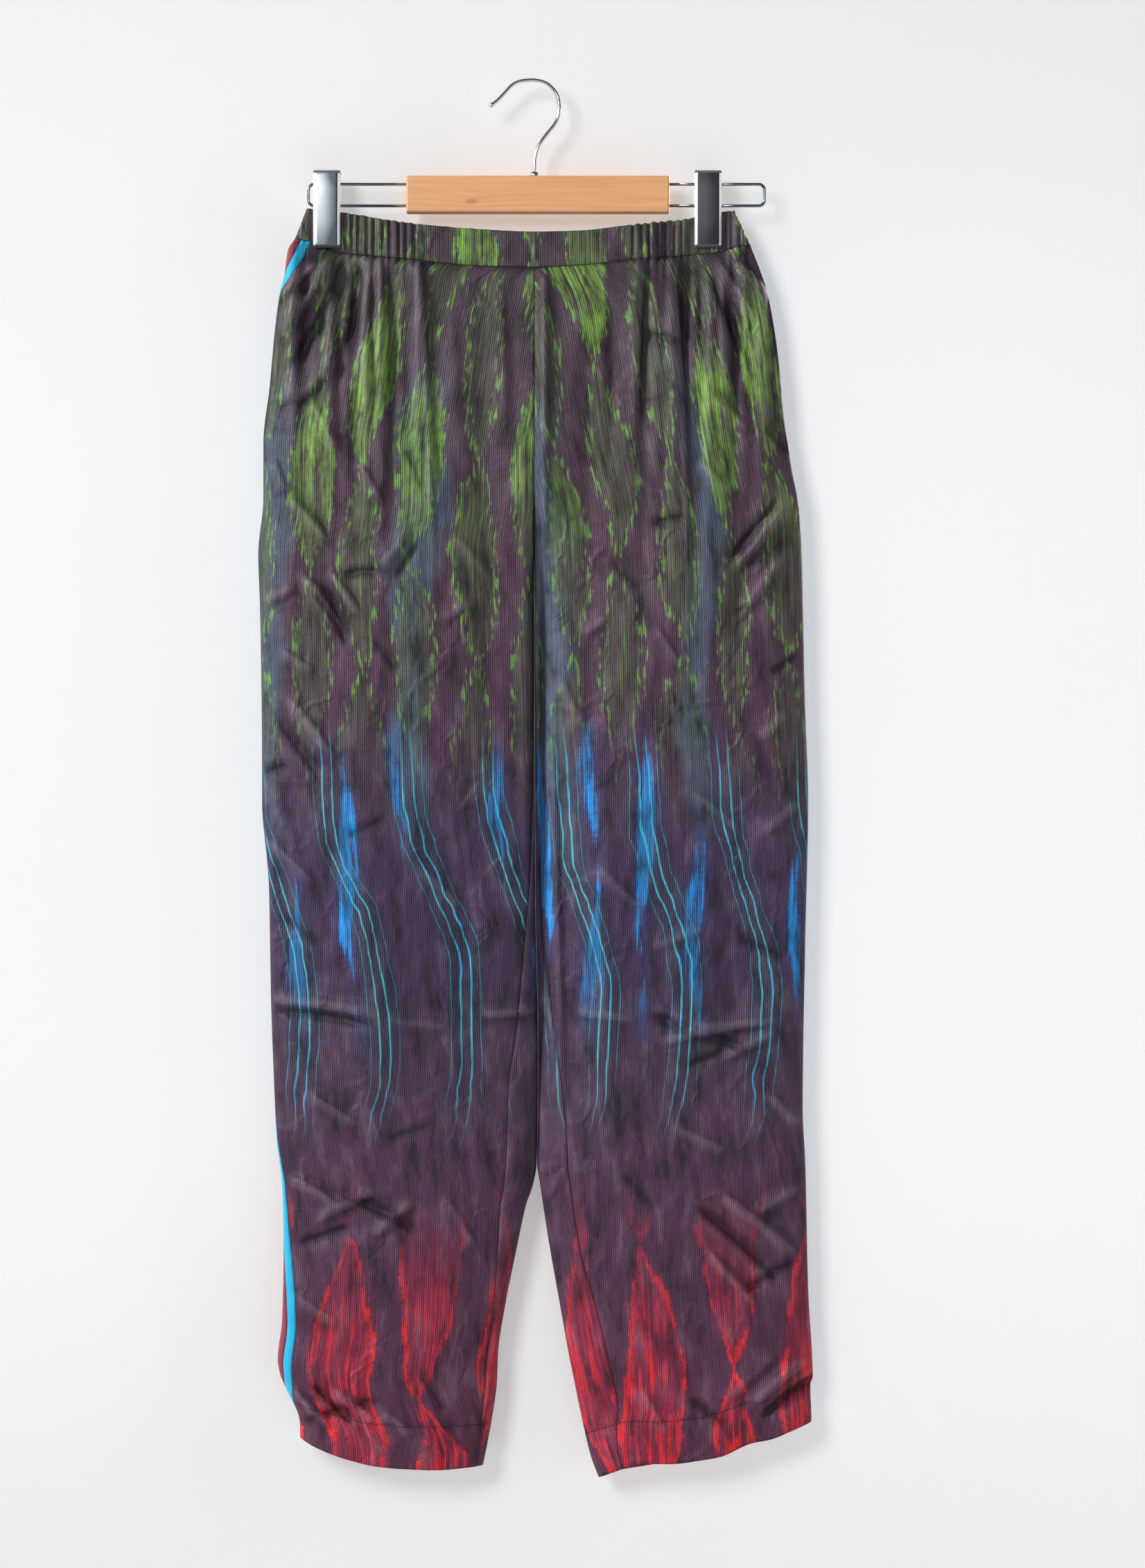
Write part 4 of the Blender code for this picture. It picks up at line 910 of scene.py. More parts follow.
def rounded_rectangle(half_width, half_height, corner, steps=8):
    """Four quarter circles, each about its own centre, joined by straight sides."""
    angle = np.radians(np.linspace(0, 90, steps)[None, :] + 90 * np.arange(4)[:, None])
    middle = np.radians(45 + 90 * np.arange(4))[:, None]
    x = np.sign(np.cos(middle)) * (half_width - corner) + corner * np.cos(angle)
    z = np.sign(np.sin(middle)) * (half_height - corner) + corner * np.sin(angle)
    return np.stack([x.ravel(), z.ravel()], axis=1)


def add_jaw(name, centre_x, way):
    """Ring = rounded rectangle less the inset, at a depth from the inner face."""
    rings = []
    for inset, depth in JAW_PROFILE:
        ring = rounded_rectangle(CLIP_WIDTH / 2 - inset, CLIP_HEIGHT / 2 - inset, JAW_CORNER)
        rings.append(np.stack([
            centre_x + ring[:, 0], np.full(len(ring), way * (CLIP_GRIP + JAW_GAP + depth)),
            ring[:, 1] - CLIP_TOP - CLIP_HEIGHT / 2], axis=1))
    count = len(rings[0])
    faces = grid_faces(len(rings), count, wrap_columns=True).tolist()
    last = (len(rings) - 1) * count
    faces += [list(range(count)), list(range(last, last + count))]
    made = close_outwards(link_mesh(name, np.array(rings) * MM, faces))
    made.data.set_sharp_from_angle(angle=JAW_SHARP)
    print(f"{name}: {len(faces)} faces")
    return made


jaws = {}
for side, centre_x in zip(("left", "right"), CLIP_X):
    for part, way in (("front", -1), ("back", 1)):
        node = f"clip_{side}_{part}"
        jaws[node] = add_jaw(node.replace("clip", "jaw"), centre_x, way)

angle = 2 * math.pi * np.arange(COLLAR_SIDES) / COLLAR_SIDES
collar_points = np.stack([
    HOOK_FOOT_X + COLLAR_PROFILE[:, :1] * np.cos(angle), COLLAR_PROFILE[:, :1] * np.sin(angle),
    COLLAR_PROFILE[:, 1:] - BAR_TOP + 0 * angle], axis=-1) * MM
collar_faces = grid_faces(len(COLLAR_PROFILE), COLLAR_SIDES, wrap_rows=True, wrap_columns=True)
collar = close_outwards(link_mesh("collar", collar_points, collar_faces.tolist()))
collar.data.set_sharp_from_angle(angle=COLLAR_SHARP)
print("jaws:", sorted(jaws))

# %% [markdown]
# ## A small algebra for materials
#
# A printed cloth is a sum of many simple patterns. Written out node by node it would fill
# pages, so a Thread stands for a number that runs through the material, and arithmetic on a
# Thread adds the Math node that does it.

# %% Material helpers


def paint(red, green, blue):
    """A colour, 0 to 255, as the linear values that a shader wants."""
    value = np.array((red, green, blue)) / 255
    linear = np.where(value <= 0.04045, value / 12.92, ((value + 0.055) / 1.055) ** 2.4)
    return (*linear.tolist(), 1.0)


class Thread:
    """A number on its way through a material."""

    def __init__(self, tree, socket):
        self.tree, self.socket = tree, socket

    def math(self, operation, *others):
        """The Math node that works on this number and the others."""
        node = self.tree.nodes.new("ShaderNodeMath")
        node.operation = operation
        for slot, value in zip(node.inputs, (self, *others)):
            if isinstance(value, Thread):
                self.tree.links.new(value.socket, slot)
            else:
                slot.default_value = value
        return Thread(self.tree, node.outputs[0])

    def __add__(self, other): return self.math("ADD", other)
    def __sub__(self, other): return self.math("SUBTRACT", other)
    def __mul__(self, other): return self.math("MULTIPLY", other)
    def __truediv__(self, other): return self.math("DIVIDE", other)
    def __pow__(self, other): return self.math("POWER", other)
    __radd__, __rmul__ = __add__, __mul__
    def __neg__(self): return self * -1.0
    def __rsub__(self, other): return -self + other
    def sin(self): return self.math("SINE")
    def abs(self): return self.math("ABSOLUTE")
    def floor(self): return self.math("FLOOR")
    def fract(self): return self.math("FRACT")
    def least(self, other): return self.math("MINIMUM", other)
    def most(self, other): return self.math("MAXIMUM", other)

    def between(self, low, high):
        """A smooth step from 0 at low to 1 at high."""
        node = self.tree.nodes.new("ShaderNodeMapRange")
        node.interpolation_type = "SMOOTHSTEP"
        self.tree.links.new(self.socket, node.inputs["Value"])
        node.inputs["From Min"].default_value, node.inputs["From Max"].default_value = low, high
        return Thread(self.tree, node.outputs["Result"])


class Finish:
    """A material with its Principled shader, and the patterns that feed it."""

    def __init__(self, name, roughness, metallic=0.0, **sockets):
        self.material = bpy.data.materials.new(name)
        self.material.use_nodes = True
        self.tree = self.material.node_tree
        self.shader = self.tree.nodes["Principled BSDF"]
        self.shader.inputs["Roughness"].default_value = roughness
        self.shader.inputs["Metallic"].default_value = metallic
        for socket, value in sockets.items():
            self.shader.inputs[socket.replace("_", " ")].default_value = value

    def cloth(self):
        """Across, down and height above the hem, in millimetres."""
        node = self.tree.nodes.new("ShaderNodeAttribute")
        node.attribute_name = "cloth"
        return self.split(node.outputs["Vector"])

    def hollow(self):
        """How deep the point lies between its neighbours, in millimetres."""
        node = self.tree.nodes.new("ShaderNodeAttribute")
        node.attribute_name = "hollow"
        return Thread(self.tree, node.outputs["Fac"])

    def place(self):
        """Object coordinates in millimetres."""
        node = self.tree.nodes.new("ShaderNodeTexCoord")
        return self.split(node.outputs["Object"])

    def split(self, vector):
        """A place in metres as three Threads in millimetres."""
        node = self.tree.nodes.new("ShaderNodeSeparateXYZ")
        self.tree.links.new(vector, node.inputs[0])
        return [Thread(self.tree, output) * 1000.0 for output in node.outputs]

    def noise(self, x, y, z=None, detail=2.0, rough=0.5):
        """Noise from -1 to 1, about one lump to each unit of x, y and z."""
        join = self.tree.nodes.new("ShaderNodeCombineXYZ")
        for thread, slot in zip((x, y, z), join.inputs):
            if thread is not None:
                self.tree.links.new(thread.socket, slot)
        node = self.tree.nodes.new("ShaderNodeTexNoise")
        node.inputs["Scale"].default_value = 1.0
        node.inputs["Detail"].default_value = detail
        node.inputs["Roughness"].default_value = rough
        self.tree.links.new(join.outputs[0], node.inputs["Vector"])
        return Thread(self.tree, node.outputs["Fac"]) * 2.0 - 1.0

    def ramp(self, thread, *stops):
        """A colour that changes along a number from 0 to 1."""
        node = self.tree.nodes.new("ShaderNodeValToRGB")
        while len(node.color_ramp.elements) < len(stops):
            node.color_ramp.elements.new(0.5)
        for element, (position, _) in zip(node.color_ramp.elements, stops):
            element.position = position
        for element, (_, colour) in zip(node.color_ramp.elements, stops):
            element.color = paint(*colour)
        self.tree.links.new(thread.socket, node.inputs["Fac"])
        return node.outputs["Color"]

    def mix(self, share, below, above, blend="MIX"):
        """Colour below, covered by colour above where share is 1."""
        node = self.tree.nodes.new("ShaderNodeMix")
        node.data_type, node.blend_type = "RGBA", blend
        node.clamp_factor = True
        self.tree.links.new(share.socket, node.inputs[0])
        for slot, colour in ((node.inputs[6], below), (node.inputs[7], above)):
            if isinstance(colour, tuple):
                slot.default_value = paint(*colour)
            else:
                self.tree.links.new(colour, slot)
        return node.outputs[2]

    def finish(self, colour, height=None, depth=0.1, roughness=None):
        """Colour, and a bump whose height of 1 stands for depth millimetres."""
        self.tree.links.new(colour, self.shader.inputs["Base Color"])
        if height is not None:
            bump = self.tree.nodes.new("ShaderNodeBump")
            bump.inputs["Strength"].default_value = 1.0
            bump.inputs["Distance"].default_value = depth * MM
            self.tree.links.new(height.socket, bump.inputs["Height"])
            self.tree.links.new(bump.outputs[0], self.shader.inputs["Normal"])
        if roughness is not None:
            self.tree.links.new(roughness.socket, self.shader.inputs["Roughness"])
        return self.material


print("middle grey as a shader wants it:", paint(128, 128, 128))

# %% [markdown]
# ## The crepe and its print
#
# The cloth is a thin crepe with fine cords down it, printed in plum, moss green, slate, azure
# and red, the colours changing with the height. The print is a plain all-over design: rows of
# streaky lance leaves in half drop, fine lines that sway down the legs at the knees, brush
# strokes between them and a clouded ground. Teeth along the leaves' edges come from noise
# stretched sideways, as where dyed yarns slip in an ikat.

# %% Printed crepe
RIB_PITCH = 1.7
PRINT_RIB_PITCH = 3.3


def ribs(across, down, finish):
    """Fine cords down the cloth: a wave across it, a little uneven."""
    wander = finish.noise(across / 40.0, down / 60.0) * 0.8
    return ((across + wander) * (2 * math.pi / RIB_PITCH)).sin()


def leaves(finish, across, down, width, height, shift, fatness):
    """Half-drop leaves. p runs -1 to 1 across a column and q runs 0 to 1 down a leaf. The leaf
    is where fatness x sin(pi q)^0.75 - |p| is above 0, and that number is returned, with q and
    a number from about -1 to 1 that each leaf draws for itself."""
    place = (across + finish.noise(across / 90.0, down / 120.0) * 17.0) / width
    column = place.floor()
    p = (place - column - 0.5) * 2.0
    odd = column.math("MODULO", 2.0).abs()
    run = down / height + odd * 0.5 + shift + finish.noise(column * 7.31, column * 3.17) * 0.3
    luck = finish.noise(column * 5.71, run.floor() * 3.37, detail=0.0) * 2.5
    q = run.fract()
    body = (q * math.pi).sin().most(0.0) ** 0.75 * (fatness + luck * 0.1)
    return body - p.abs(), q, luck


def crumple(across, down, finish):
    """Fine sharp creases: ridges along the borders of uneven cells, in some patches only."""
    join = finish.tree.nodes.new("ShaderNodeCombineXYZ")
    warp = finish.noise(across / 26.0, down / 26.0, detail=2.0)
    for thread, slot in zip(((across + warp * 16.0) / 34.0, (down + warp * 12.0) / 52.0),
                            join.inputs):
        finish.tree.links.new(thread.socket, slot)
    cells = finish.tree.nodes.new("ShaderNodeTexVoronoi")
    cells.feature = "DISTANCE_TO_EDGE"
    cells.inputs["Scale"].default_value = 1.0
    finish.tree.links.new(join.outputs[0], cells.inputs["Vector"])
    ridge = 1.0 - Thread(finish.tree, cells.outputs["Distance"]).between(0.0, 0.13)
    patch = finish.noise(across / 75.0, down / 90.0).between(-0.25, 0.35)
    return ridge * patch


def printed_crepe():
    """The print from its ground to its last lines, each layer laid over the one before, then a
    mottling that is partly uneven dye and partly painted shade and light, painted shade in the
    creases and painted highlights on their crests, and the cords with painted shade between them.
    Height runs from 0 at the waist to about 1 at the hem, and level is height with a ragged edge."""
    finish = Finish("printed crepe", 0.55, Sheen_Weight=0.05, Sheen_Roughness=0.4,
                    Specular_IOR_Level=0.18)
    across, down, above_hem = finish.cloth()
    height = (down - 90.0) / 1030.0
    cloud = finish.noise(across / 70.0, down / 95.0, detail=3.0)
    streak = finish.noise(across / 3.2, down / 70.0, detail=3.0, rough=0.6)
    fleck = finish.noise(across / 2.4, down / 13.0, detail=2.0)
    tooth = finish.noise(across / 22.0, down / 2.6, detail=2.0)
    level = height + cloud * 0.04 + tooth * 0.006

    # The ground: plum, with slate stripes in the upper half and a blue cast at the knees.
    colour = finish.ramp(
        level, (0.0, (66, 54, 64)), (0.30, (78, 54, 72)), (0.42, (74, 50, 72)),
        (0.50, (66, 48, 76)), (0.60, (64, 46, 72)), (0.68, (70, 50, 72)), (0.85, (76, 46, 70)),
        (1.0, (84, 42, 66)))
    slate = ((across * (2 * math.pi / 118.0) + cloud * 2.0).sin().between(0.5, 1.0)
             * level.between(0.09, 0.2) * (1.0 - level.between(0.42, 0.56)) * 0.7)
    colour = finish.mix(slate, colour, (66, 88, 106))
    moss_wash = (finish.noise(across / 9.0, down / 110.0, detail=3.0).between(0.05, 0.5)
                 * (1.0 - level.between(0.30, 0.48)) * 0.5)
    colour = finish.mix(moss_wash, colour, (70, 80, 58))

    # Moss leaves above, a few of them lime.
    inside, q, luck = leaves(finish, across, down, 43.0, 158.0, 0.13, 0.78)
    upper = 1.0 - level.between(0.34, 0.50)
    ragged = inside + tooth * 0.10 + streak * 0.26 + fleck * 0.10
    body = ragged.between(0.02, 0.22) * upper
    moss = finish.ramp(streak.between(-0.5, 0.6), (0.0, (54, 54, 50)), (0.5, (72, 80, 58)),
                       (1.0, (92, 114, 64)))
    colour = finish.mix(body * (0.55 + streak * 0.35 + fleck * 0.15), colour, moss)
    colour = finish.mix(body * (fleck + streak * 0.7).between(0.25, 0.75) * 0.5, colour,
                        (88, 134, 64))
    lime = luck.between(0.0, 0.5) * (1.0 - level.between(0.17, 0.30)) * q.between(0.05, 0.3)
    blot = finish.noise(across / 30.0, down / 42.0, detail=4.0, rough=0.65)
    lime = lime * (streak + blot * 0.8).between(-0.45, 0.35)
    colour = finish.mix(body * lime * fleck.between(-0.6, 0.1), colour, (118, 160, 64))
    edge = ragged.between(-0.10, 0.02) * (1.0 - ragged.between(0.14, 0.30)) * upper
    colour = finish.mix(edge * fleck.between(-0.05, 0.3) * 0.85, colour, (106, 158, 70))

    # Azure brush strokes at the knees.
    inside, _, luck = leaves(finish, across + 11.0, down, 41.0, 190.0, 0.30, 0.38)
    knees = (level.between(0.40, 0.47) * (1.0 - level.between(0.57, 0.66))
             * luck.between(-0.15, 0.15))
    colour = finish.mix((inside + cloud * 0.2).between(-0.4, 0.4) * knees * 0.5, colour,
                        (46, 66, 122))
    stroke = (inside + streak * 0.5 + tooth * 0.10 + fleck * 0.10).between(0.08, 0.3)
    colour = finish.mix(stroke * knees * (0.8 + streak * 0.8), colour, (10, 142, 222))

    # Fine teal lines that sway down the legs, three together.
    sway = (down / 68.0 + cloud * 0.8).sin() * 21.0 + (down / 23.0).sin() * 2.0
    strand = (across + sway) / 8.0
    line = 1.0 - (((strand.fract() - 0.5).abs() * 8.0) + tooth * 0.2).between(0.45, 0.95)
    group = (((across + sway) / 64.0).fract() - 0.5).abs()
    lines = line * (1.0 - group.between(0.17, 0.19)) * height.between(0.40, 0.47)
    lines = lines * (1.0 - height.between(0.64, 0.74)) * (0.85 + fleck * 0.5)
    colour = finish.mix((1.0 - group.between(0.18, 0.27)) * height.between(0.42, 0.5)
                        * (1.0 - height.between(0.60, 0.74)) * 0.5, colour, (42, 56, 74))
    colour = finish.mix(lines, colour, (66, 178, 186))
    colour = finish.mix(lines * (cloud + blot * 0.5).between(-0.1, 0.3), colour, (34, 158, 226))

    # Crimson leaves at the hems, with a ragged red rim.
    inside, _, _ = leaves(finish, across + 25.0, down, 66.0, 262.0, 0.10, 0.74)
    lower = (level + blot * 0.03).between(0.75, 0.88)
    ragged = inside + tooth * 0.09 + streak * 0.16 + blot * 0.12
    shade = finish.ramp(streak.between(-0.6, 0.6), (0.0, (98, 34, 58)), (0.6, (136, 34, 60)),
                        (1.0, (168, 34, 54)))
    colour = finish.mix(ragged.between(-0.18, 0.3) * lower * 0.82, colour, shade)
    rim = ragged.between(-0.02, 0.05) * (1.0 - ragged.between(0.07, 0.16)) * lower
    rim = rim * (blot + fleck * 0.5).between(-0.35, 0.1)
    colour = finish.mix(rim * 0.9, colour, (210, 38, 44))
    blaze = (streak + blot * 0.6).between(-0.05, 0.35) * level.between(0.80, 0.96)
    colour = finish.mix(blaze * ragged.between(-0.1, 0.3) * lower * 0.9, colour, (222, 38, 44))

    # Soft mottling, darker and lighter, in patches that run down the cloth: partly uneven dye and
    # partly painted shade and light of soft folds.
    mottle = finish.noise(across / 13.0, down / 44.0, detail=4.0, rough=0.62)
    colour = finish.mix(mottle.between(-0.05, 0.45) * 0.76, colour, (20, 16, 24))
    colour = finish.mix((-mottle).between(0.0, 0.45), colour, (60, 53, 58), "SCREEN")

    # Painted shade darkens the creases' hollows, and a painted highlight pales their crests.
    hollow = finish.hollow()
    colour = finish.mix(hollow.between(0.1, 2.0) * 0.62, colour, (14, 11, 18))
    colour = finish.mix((-hollow).between(0.2, 2.2) * 0.7, colour, (72, 66, 72), "SCREEN")

    # Painted shade in the furrows between the cords, printed rib lines and brush marks over all of
    # it.
    rib = ribs(across, down, finish)
    print_rib = (((across + cloud * 2.0) / PRINT_RIB_PITCH).fract() - 0.5).abs().between(0.34, 0.5)
    # The rib term paints shade into the furrows between the cords.
    dark = print_rib * (0.42 - 0.26 * height.between(0.2, 0.5)) + (0.5 - rib * 0.5) * 0.14
    dark = dark + (-streak).between(0.0, 0.7) * 0.36
    colour = finish.mix(dark, colour, (24, 20, 28))

    # The hem's stitches, and the bump of cords and crinkles.
    stitch = ((1.0 - (above_hem - HEM_DEPTH).abs().between(0.3, 0.7))
              * (across / 3.0).fract().between(0.25, 0.35))
    colour = finish.mix(stitch * 0.6, colour, (34, 26, 34))
    crinkle = finish.noise(across / 3.5, down / 2.2, detail=2.0)
    near_hem = 1.0 - above_hem.between(30.0, 60.0)
    bump = (rib * 0.5 + crinkle * (0.7 + 0.9 * near_hem) + crumple(across, down, finish) * 5.0
            + finish.noise(across / 12.0, down / 15.0) * 2.5 - stitch * 1.5)
    return finish.finish(colour, bump, 0.2, 0.52 + streak * 0.05 + crinkle * 0.04)


crepe = printed_crepe()
print("printed crepe:", len(crepe.node_tree.nodes), "nodes")

# %% [markdown]
# ## Plain stripes
#
# The stripes are cut from plain dyed crepe with the same cords. The dye is a little uneven, and
# painted shade darkens the furrows between the cords.

# %% Stripe finishes


def plain_crepe(name, colour, shade):
    """One dye, clouded, with painted shade in the furrows between the cords."""
    finish = Finish(name, 0.6, Sheen_Weight=0.2, Sheen_Roughness=0.45, Specular_IOR_Level=0.35)
    across, down, _ = finish.cloth()
    cloud = finish.noise(across / 20.0, down / 45.0, detail=3.0)
    rib = ribs(across, down, finish)
    made = finish.mix(cloud.between(-0.4, 0.7) * 0.5, colour, shade)
    # Painted shade in the furrows between the cords.
    made = finish.mix((0.5 - rib * 0.5) * 0.18, made, (20, 24, 30))
    return finish.finish(made, rib * 0.5 + finish.noise(across / 3.5, down / 2.2), 0.15)


turquoise = plain_crepe("turquoise crepe", (8, 168, 208), (0, 136, 190))
maroon = plain_crepe("maroon crepe", (134, 42, 62), (104, 34, 56))
print("stripe finishes:", turquoise.name, "and", maroon.name)

# %% [markdown]
# ## Steel and wood
#
# The wires and the hook are chromed. The jaws are satin plates with their light painted on:
# painted highlights on the sloping edges, and one jaw painted as in the light and one as in the
# shade. The bar is beech: a warm plain wood with fine level grain, short flecks and one small
# knot.

# %% Hanger finishes


def steel(name, light, dark, axis_scale, roughness=0.18):
    """Polished steel whose tone changes softly over the piece, with fine rubbing marks."""
    finish = Finish(name, roughness, 1.0)
    x, y, z = finish.place()
    tone = finish.noise(x / axis_scale, z / (3 * axis_scale), detail=1.0) * 0.6
    colour = finish.mix(tone.between(-0.8, 0.8), light, dark)
    marks = finish.noise(x / 0.5, z / 9.0, y / 0.5, detail=2.0)
    return finish.finish(colour, marks, 0.01, roughness + marks * 0.05)


def jaw_steel_painted_light(name, centre_x, light, dark):
    """A satin plate with its light painted on: painted light at its left and painted shade to the
    right and to its foot. Its sloping side edges carry a painted highlight, the ends painted
    shade, and a thin painted dark line runs inside the slopes."""
    finish = Finish(name, 0.24, 0.5)
    x, y, z = finish.place()
    from_left = x - (centre_x - CLIP_WIDTH / 2)
    from_side = from_left.least(CLIP_WIDTH - from_left)
    from_top = -CLIP_TOP - z
    from_end = from_top.least(CLIP_HEIGHT - from_top)
    speckle = finish.noise(x / 1.3, z / 1.3, detail=3.0)
    # Painted shade: darker to the right, towards the foot and at the top end.
    painted_shade = (from_left.between(6.0, 20.0) + from_top.between(38.0, 60.0) * 0.6
             + (1.0 - from_top.between(3.0, 16.0)) * 0.5 + speckle * 0.12)
    colour = finish.mix(painted_shade, light, dark)
    # A thin painted dark line inside the sloping sides, fading out at the left side.
    rim = (1.0 - from_side.between(2.9, 3.6)) * from_left.between(4.0, 12.0)
    colour = finish.mix(rim * 0.8, colour, (30, 36, 44))
    # A painted highlight on the sloping sides.
    colour = finish.mix(1.0 - from_side.between(1.9, 2.3), colour, (252, 253, 255))
    # Painted shade on the sloping ends.
    colour = finish.mix(1.0 - from_end.between(1.9, 2.6), colour, (92, 96, 104))
    return finish.finish(colour, speckle, 0.01, 0.24 + speckle * 0.04)


def beech():
    """Level grain: noise stretched 30 times along x, plus short darker flecks and one knot."""
    finish = Finish("beech", 0.45, Specular_IOR_Level=0.4, Coat_Weight=0.15, Coat_Roughness=0.3)
    x, y, z = finish.place()
    knot = (((x + 48.0) / 9.0) ** 2.0 + ((z + 96.0) / 3.0) ** 2.0) ** 0.5
    bend = (1.0 - knot.between(0.0, 2.6)) * 2.2
    grain = finish.noise(x / 70.0, (z + bend) / 2.0, y / 3.0, detail=4.0, rough=0.6)
    fleck = finish.noise(x / 5.0, (z + bend) / 0.55, y / 0.9, detail=1.0).between(0.35, 0.6)
    colour = finish.mix(grain.between(-0.6, 0.6), (214, 163, 118), (200, 143, 97))
    colour = finish.mix(fleck * 0.25, colour, (178, 118, 74))
    colour = finish.mix((1.0 - knot.between(0.2, 0.9)) * 0.6, colour, (150, 92, 54))
    return finish.finish(colour, grain * 0.5 + fleck * -0.6, 0.06, 0.42 + grain * 0.05)


chrome = steel("chrome", (226, 230, 236), (190, 196, 204), 14.0, 0.1)
wire_steel = steel("wire steel", (150, 158, 174), (96, 102, 116), 18.0, 0.12)
# The same jaw steel twice: painted lit for the left clip and painted in shade for the right.
left_plate_painted_lit = jaw_steel_painted_light("left jaw steel painted lit", CLIP_X[0], (200, 208, 214), (96, 106, 114))
right_plate_painted_shaded = jaw_steel_painted_light("right jaw steel painted shaded", CLIP_X[1], (104, 103, 110), (64, 63, 68))
sleeve_steel = steel("dark sleeve steel", (76, 78, 84), (44, 46, 52), 6.0, 0.3)
wood = beech()
print("hanger finishes:",
      [made.name for made in (chrome, wire_steel, left_plate_painted_lit, right_plate_painted_shaded, sleeve_steel, wood)])

# %% [markdown]
# ## Which piece is which
#
# Each new piece rides with the CAD body, takes the place of its CAD node and gets its finish.
# The wooden bar and the sleeves keep the CAD shape and get a better material.

# %% Dress the frame
ROOT = "root"


def stand_for(piece, node, material):
    """Put a new piece in the place of a CAD node, on its body and with its material."""
    piece.data.materials.append(material)
    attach(piece, ROOT)
    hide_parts(node)


for node, piece in cloth_pieces.items():
    if node.startswith("stripe_front"):
        stand_for(piece, node, turquoise)
    elif node.startswith("stripe_back"):
        stand_for(piece, node, maroon)
    else:
        stand_for(piece, node, crepe)
stand_for(hook, "hook", chrome)
stand_for(collar, "ferrule", chrome)
for side, piece in loops.items():
    stand_for(piece, "wire_" + side, wire_steel)
for node, piece in jaws.items():
    stand_for(piece, node, left_plate_painted_lit if "left" in node else right_plate_painted_shaded)
for node, material in [("bar", wood)] + [
        (f"clip_{side}_sleeve_{place}", sleeve_steel)
        for side in ("left", "right") for place in ("upper", "lower")]:
    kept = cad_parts[node]
    for slot in kept.material_slots:
        slot.material = material
    print("kept", node)

# %% [markdown]
# ## The size of each cut sheet
#
# The table gives each sheet the flat size of what shows of it, before it was gathered and hung:
# width, length and, where the sheet isn't a plain strip, its area.

# %% Sheets
FLAT = {
    "front_left": (0.232, 0.965, 0.205), "front_right": (0.232, 0.965, 0.203),
    "back_left": (0.262, 0.975, 0.215), "back_right": (0.262, 0.975, 0.215),
    "stripe_front_left": (0.0075, 0.96, None), "stripe_front_right": (0.0075, 0.95, None),
    "stripe_back_left": (0.012, 0.96, None), "stripe_back_right": (0.012, 0.95, None),
    "waistband_front": (0.40, 0.029, None), "waistband_back": (0.46, 0.032, None)}
for node, (width, length, area) in FLAT.items():
    band = node.startswith("waistband")
    (["clip_left_back", "clip_right_back"] if band
             else [cloth_pieces["waistband_" + ("back" if "back" in node else "front")]])
print("sheets:", len(FLAT))

# %% [markdown]
# ## The stage
#
# A white wall stands close behind and catches a soft shadow. It is seen from its front only, so
# that the back of the trousers can be looked at too. The floor lies far below the picture's
# edge.

# %% Stage
WALL_Y, WALL_SIDE, WALL_FOOT, WALL_TOP = 0.0275, 3, -3, 2
FLOOR_Z, FLOOR_SIDE = -1.33, 9


def add_plane(name, corners, material):
    """A flat piece of the stage, from its four corners."""
    made = link_mesh(name, corners, [[0, 1, 2, 3]])
    made.data.materials.append(material)
    return made


def stage_paint(name, colour, see_through_back):
    """A clouded white, with painted shade that darkens it towards the wall's top and foot."""
    finish = Finish(name, 0.9, Specular_IOR_Level=0.1)
    x, y, z = finish.place()
    cloud = finish.noise(x / 400.0, z / 400.0, y / 400.0).between(-1.0, 1.0)
    made = finish.mix(cloud, colour, tuple(value - 3 for value in colour))
    # Painted shade: darker towards the wall's foot and its top.
    painted_falloff = (1.0 - z.between(-1300.0, -800.0)) + z.between(-350.0, 150.0) * 0.6
    finish.finish(finish.mix(painted_falloff, made, tuple(value - 14 for value in colour)))
    if see_through_back:
        nodes, links = finish.tree.nodes, finish.tree.links
        side = nodes.new("ShaderNodeNewGeometry")
        clear = nodes.new("ShaderNodeBsdfTransparent")
        mix = nodes.new("ShaderNodeMixShader")
        links.new(side.outputs["Backfacing"], mix.inputs[0])
        links.new(finish.shader.outputs[0], mix.inputs[1])
        links.new(clear.outputs[0], mix.inputs[2])
        links.new(mix.outputs[0], nodes["Material Output"].inputs["Surface"])
    return finish.material


wall = add_plane(
    "back_wall",
    [(-WALL_SIDE, WALL_Y, WALL_FOOT), (WALL_SIDE, WALL_Y, WALL_FOOT),
     (WALL_SIDE, WALL_Y, WALL_TOP), (-WALL_SIDE, WALL_Y, WALL_TOP)],
    stage_paint("wall paint", (240, 240, 240), True))
wall.visible_shadow = False
floor = add_plane(
    "floor",
    [(-FLOOR_SIDE, -FLOOR_SIDE, FLOOR_Z), (FLOOR_SIDE, -FLOOR_SIDE, FLOOR_Z),
     (FLOOR_SIDE, FLOOR_SIDE, FLOOR_Z), (-FLOOR_SIDE, FLOOR_SIDE, FLOOR_Z)],
    stage_paint("floor paint", (226, 226, 224), False))
print("stage:", wall.name, "and", floor.name)

# %% [markdown]
# ## The light
#
# The picture has soft light from the left and a little above. Low creases show only in light
# that grazes them, so a raking sun falls on the trousers and the hanger alone and casts their
# small shadows. Its twin lights the wall and the floor without shadows, so that the wall stays
# as pale as in the picture. A panel at the right softens the dark side, and one more light
# stands behind the wall for the back of the trousers.

# %% Light
SUN_TURN, SUN_SPREAD = (70, 0, -66), 12
AROUND_STRENGTH = 0.13


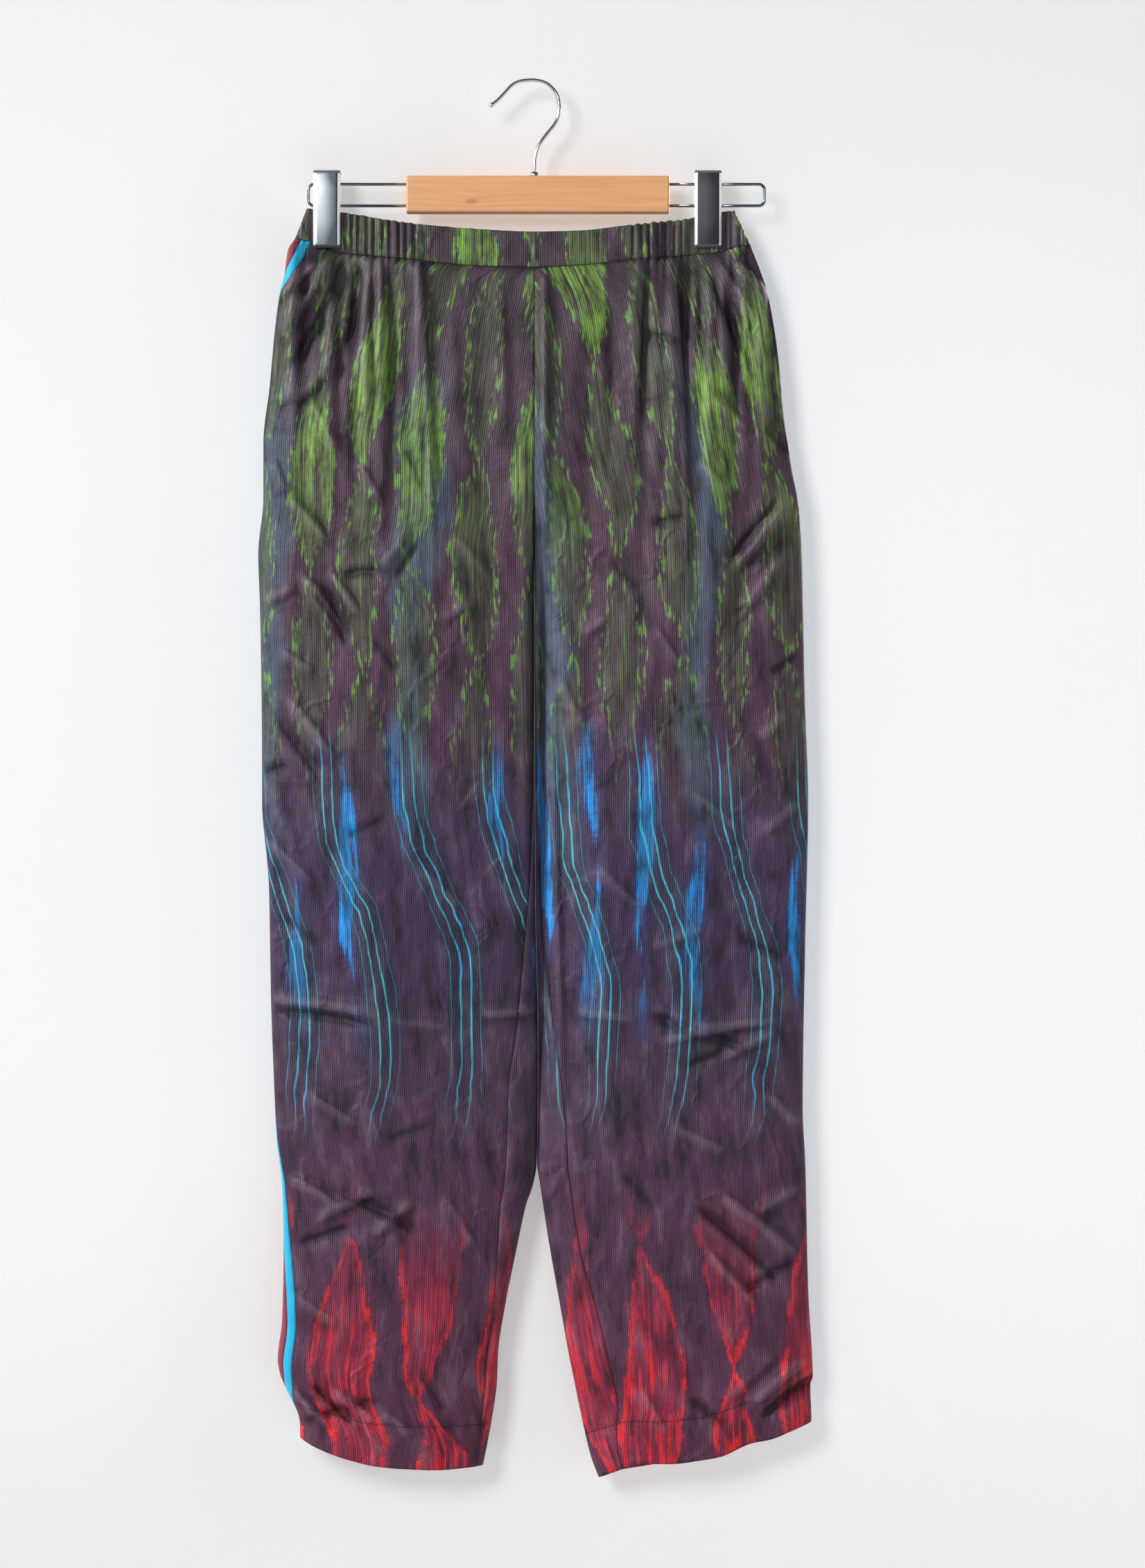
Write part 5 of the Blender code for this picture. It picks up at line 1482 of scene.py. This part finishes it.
def add_light(name, place, target, power, width, height):
    """A soft box that faces its target."""
    lamp = bpy.data.lights.new(name, "AREA")
    lamp.shape, lamp.size, lamp.size_y = "RECTANGLE", width, height
    lamp.energy = power
    made = bpy.data.objects.new(name, lamp)
    bpy.context.scene.collection.objects.link(made)
    made.location = place
    way = np.array(target, dtype=float) - np.array(place, dtype=float)
    flat = math.hypot(way[0], way[1])
    made.rotation_euler = (math.atan2(flat, -way[2]), 0, math.atan2(-way[0], way[1]))
    print(name, "at", place, power, "W")


def add_sun(name, energy, shadow, lit):
    """Light from far away at the left, that falls on the listed pieces only."""
    lamp = bpy.data.lights.new(name, "SUN")
    lamp.energy, lamp.angle, lamp.use_shadow = energy, math.radians(SUN_SPREAD), shadow
    made = bpy.data.objects.new(name, lamp)
    bpy.context.scene.collection.objects.link(made)
    made.rotation_euler = [math.radians(angle) for angle in SUN_TURN]
    group = bpy.data.collections.new("lit by " + name)
    for piece in lit:
        group.objects.link(piece)
    made.light_linking.receiver_collection = group


add_light("key", (-1.15, -2.4, 0.45), (0, 0, -0.55), 31, 0.8, 0.9)
pieces = [piece for piece in bpy.context.scene.objects
          if piece.type == "MESH" and piece not in (wall, floor)]
add_sun("raking light", 3.7, True, pieces)
add_sun("wall light", 2.9, False, [wall, floor])
add_light("right panel", (2.4, -0.7, -0.4), (0, 0, -0.5), 7, 0.6, 1.6)
add_light("back key", (1.5, 2.4, 0.4), (0, 0, -0.55), 75, 1.0, 1.0)

# What lights the piece from all round is dim, and what the camera sees behind it is pale.
world = bpy.data.worlds.new("studio")
world.use_nodes = True
nodes, links = world.node_tree.nodes, world.node_tree.links
around = nodes["Background"]
around.inputs["Color"].default_value = (0.92, 0.94, 0.97, 1)
around.inputs["Strength"].default_value = AROUND_STRENGTH
behind = nodes.new("ShaderNodeBackground")
behind.inputs["Color"].default_value = (0.84, 0.84, 0.84, 1)
ray = nodes.new("ShaderNodeLightPath")
choose = nodes.new("ShaderNodeMixShader")
links.new(ray.outputs["Is Camera Ray"], choose.inputs[0])
links.new(around.outputs[0], choose.inputs[1])
links.new(behind.outputs[0], choose.inputs[2])
links.new(choose.outputs[0], nodes["World Output"].inputs["Surface"])
bpy.context.scene.world = world
bpy.context.scene.view_settings.view_transform = "Standard"
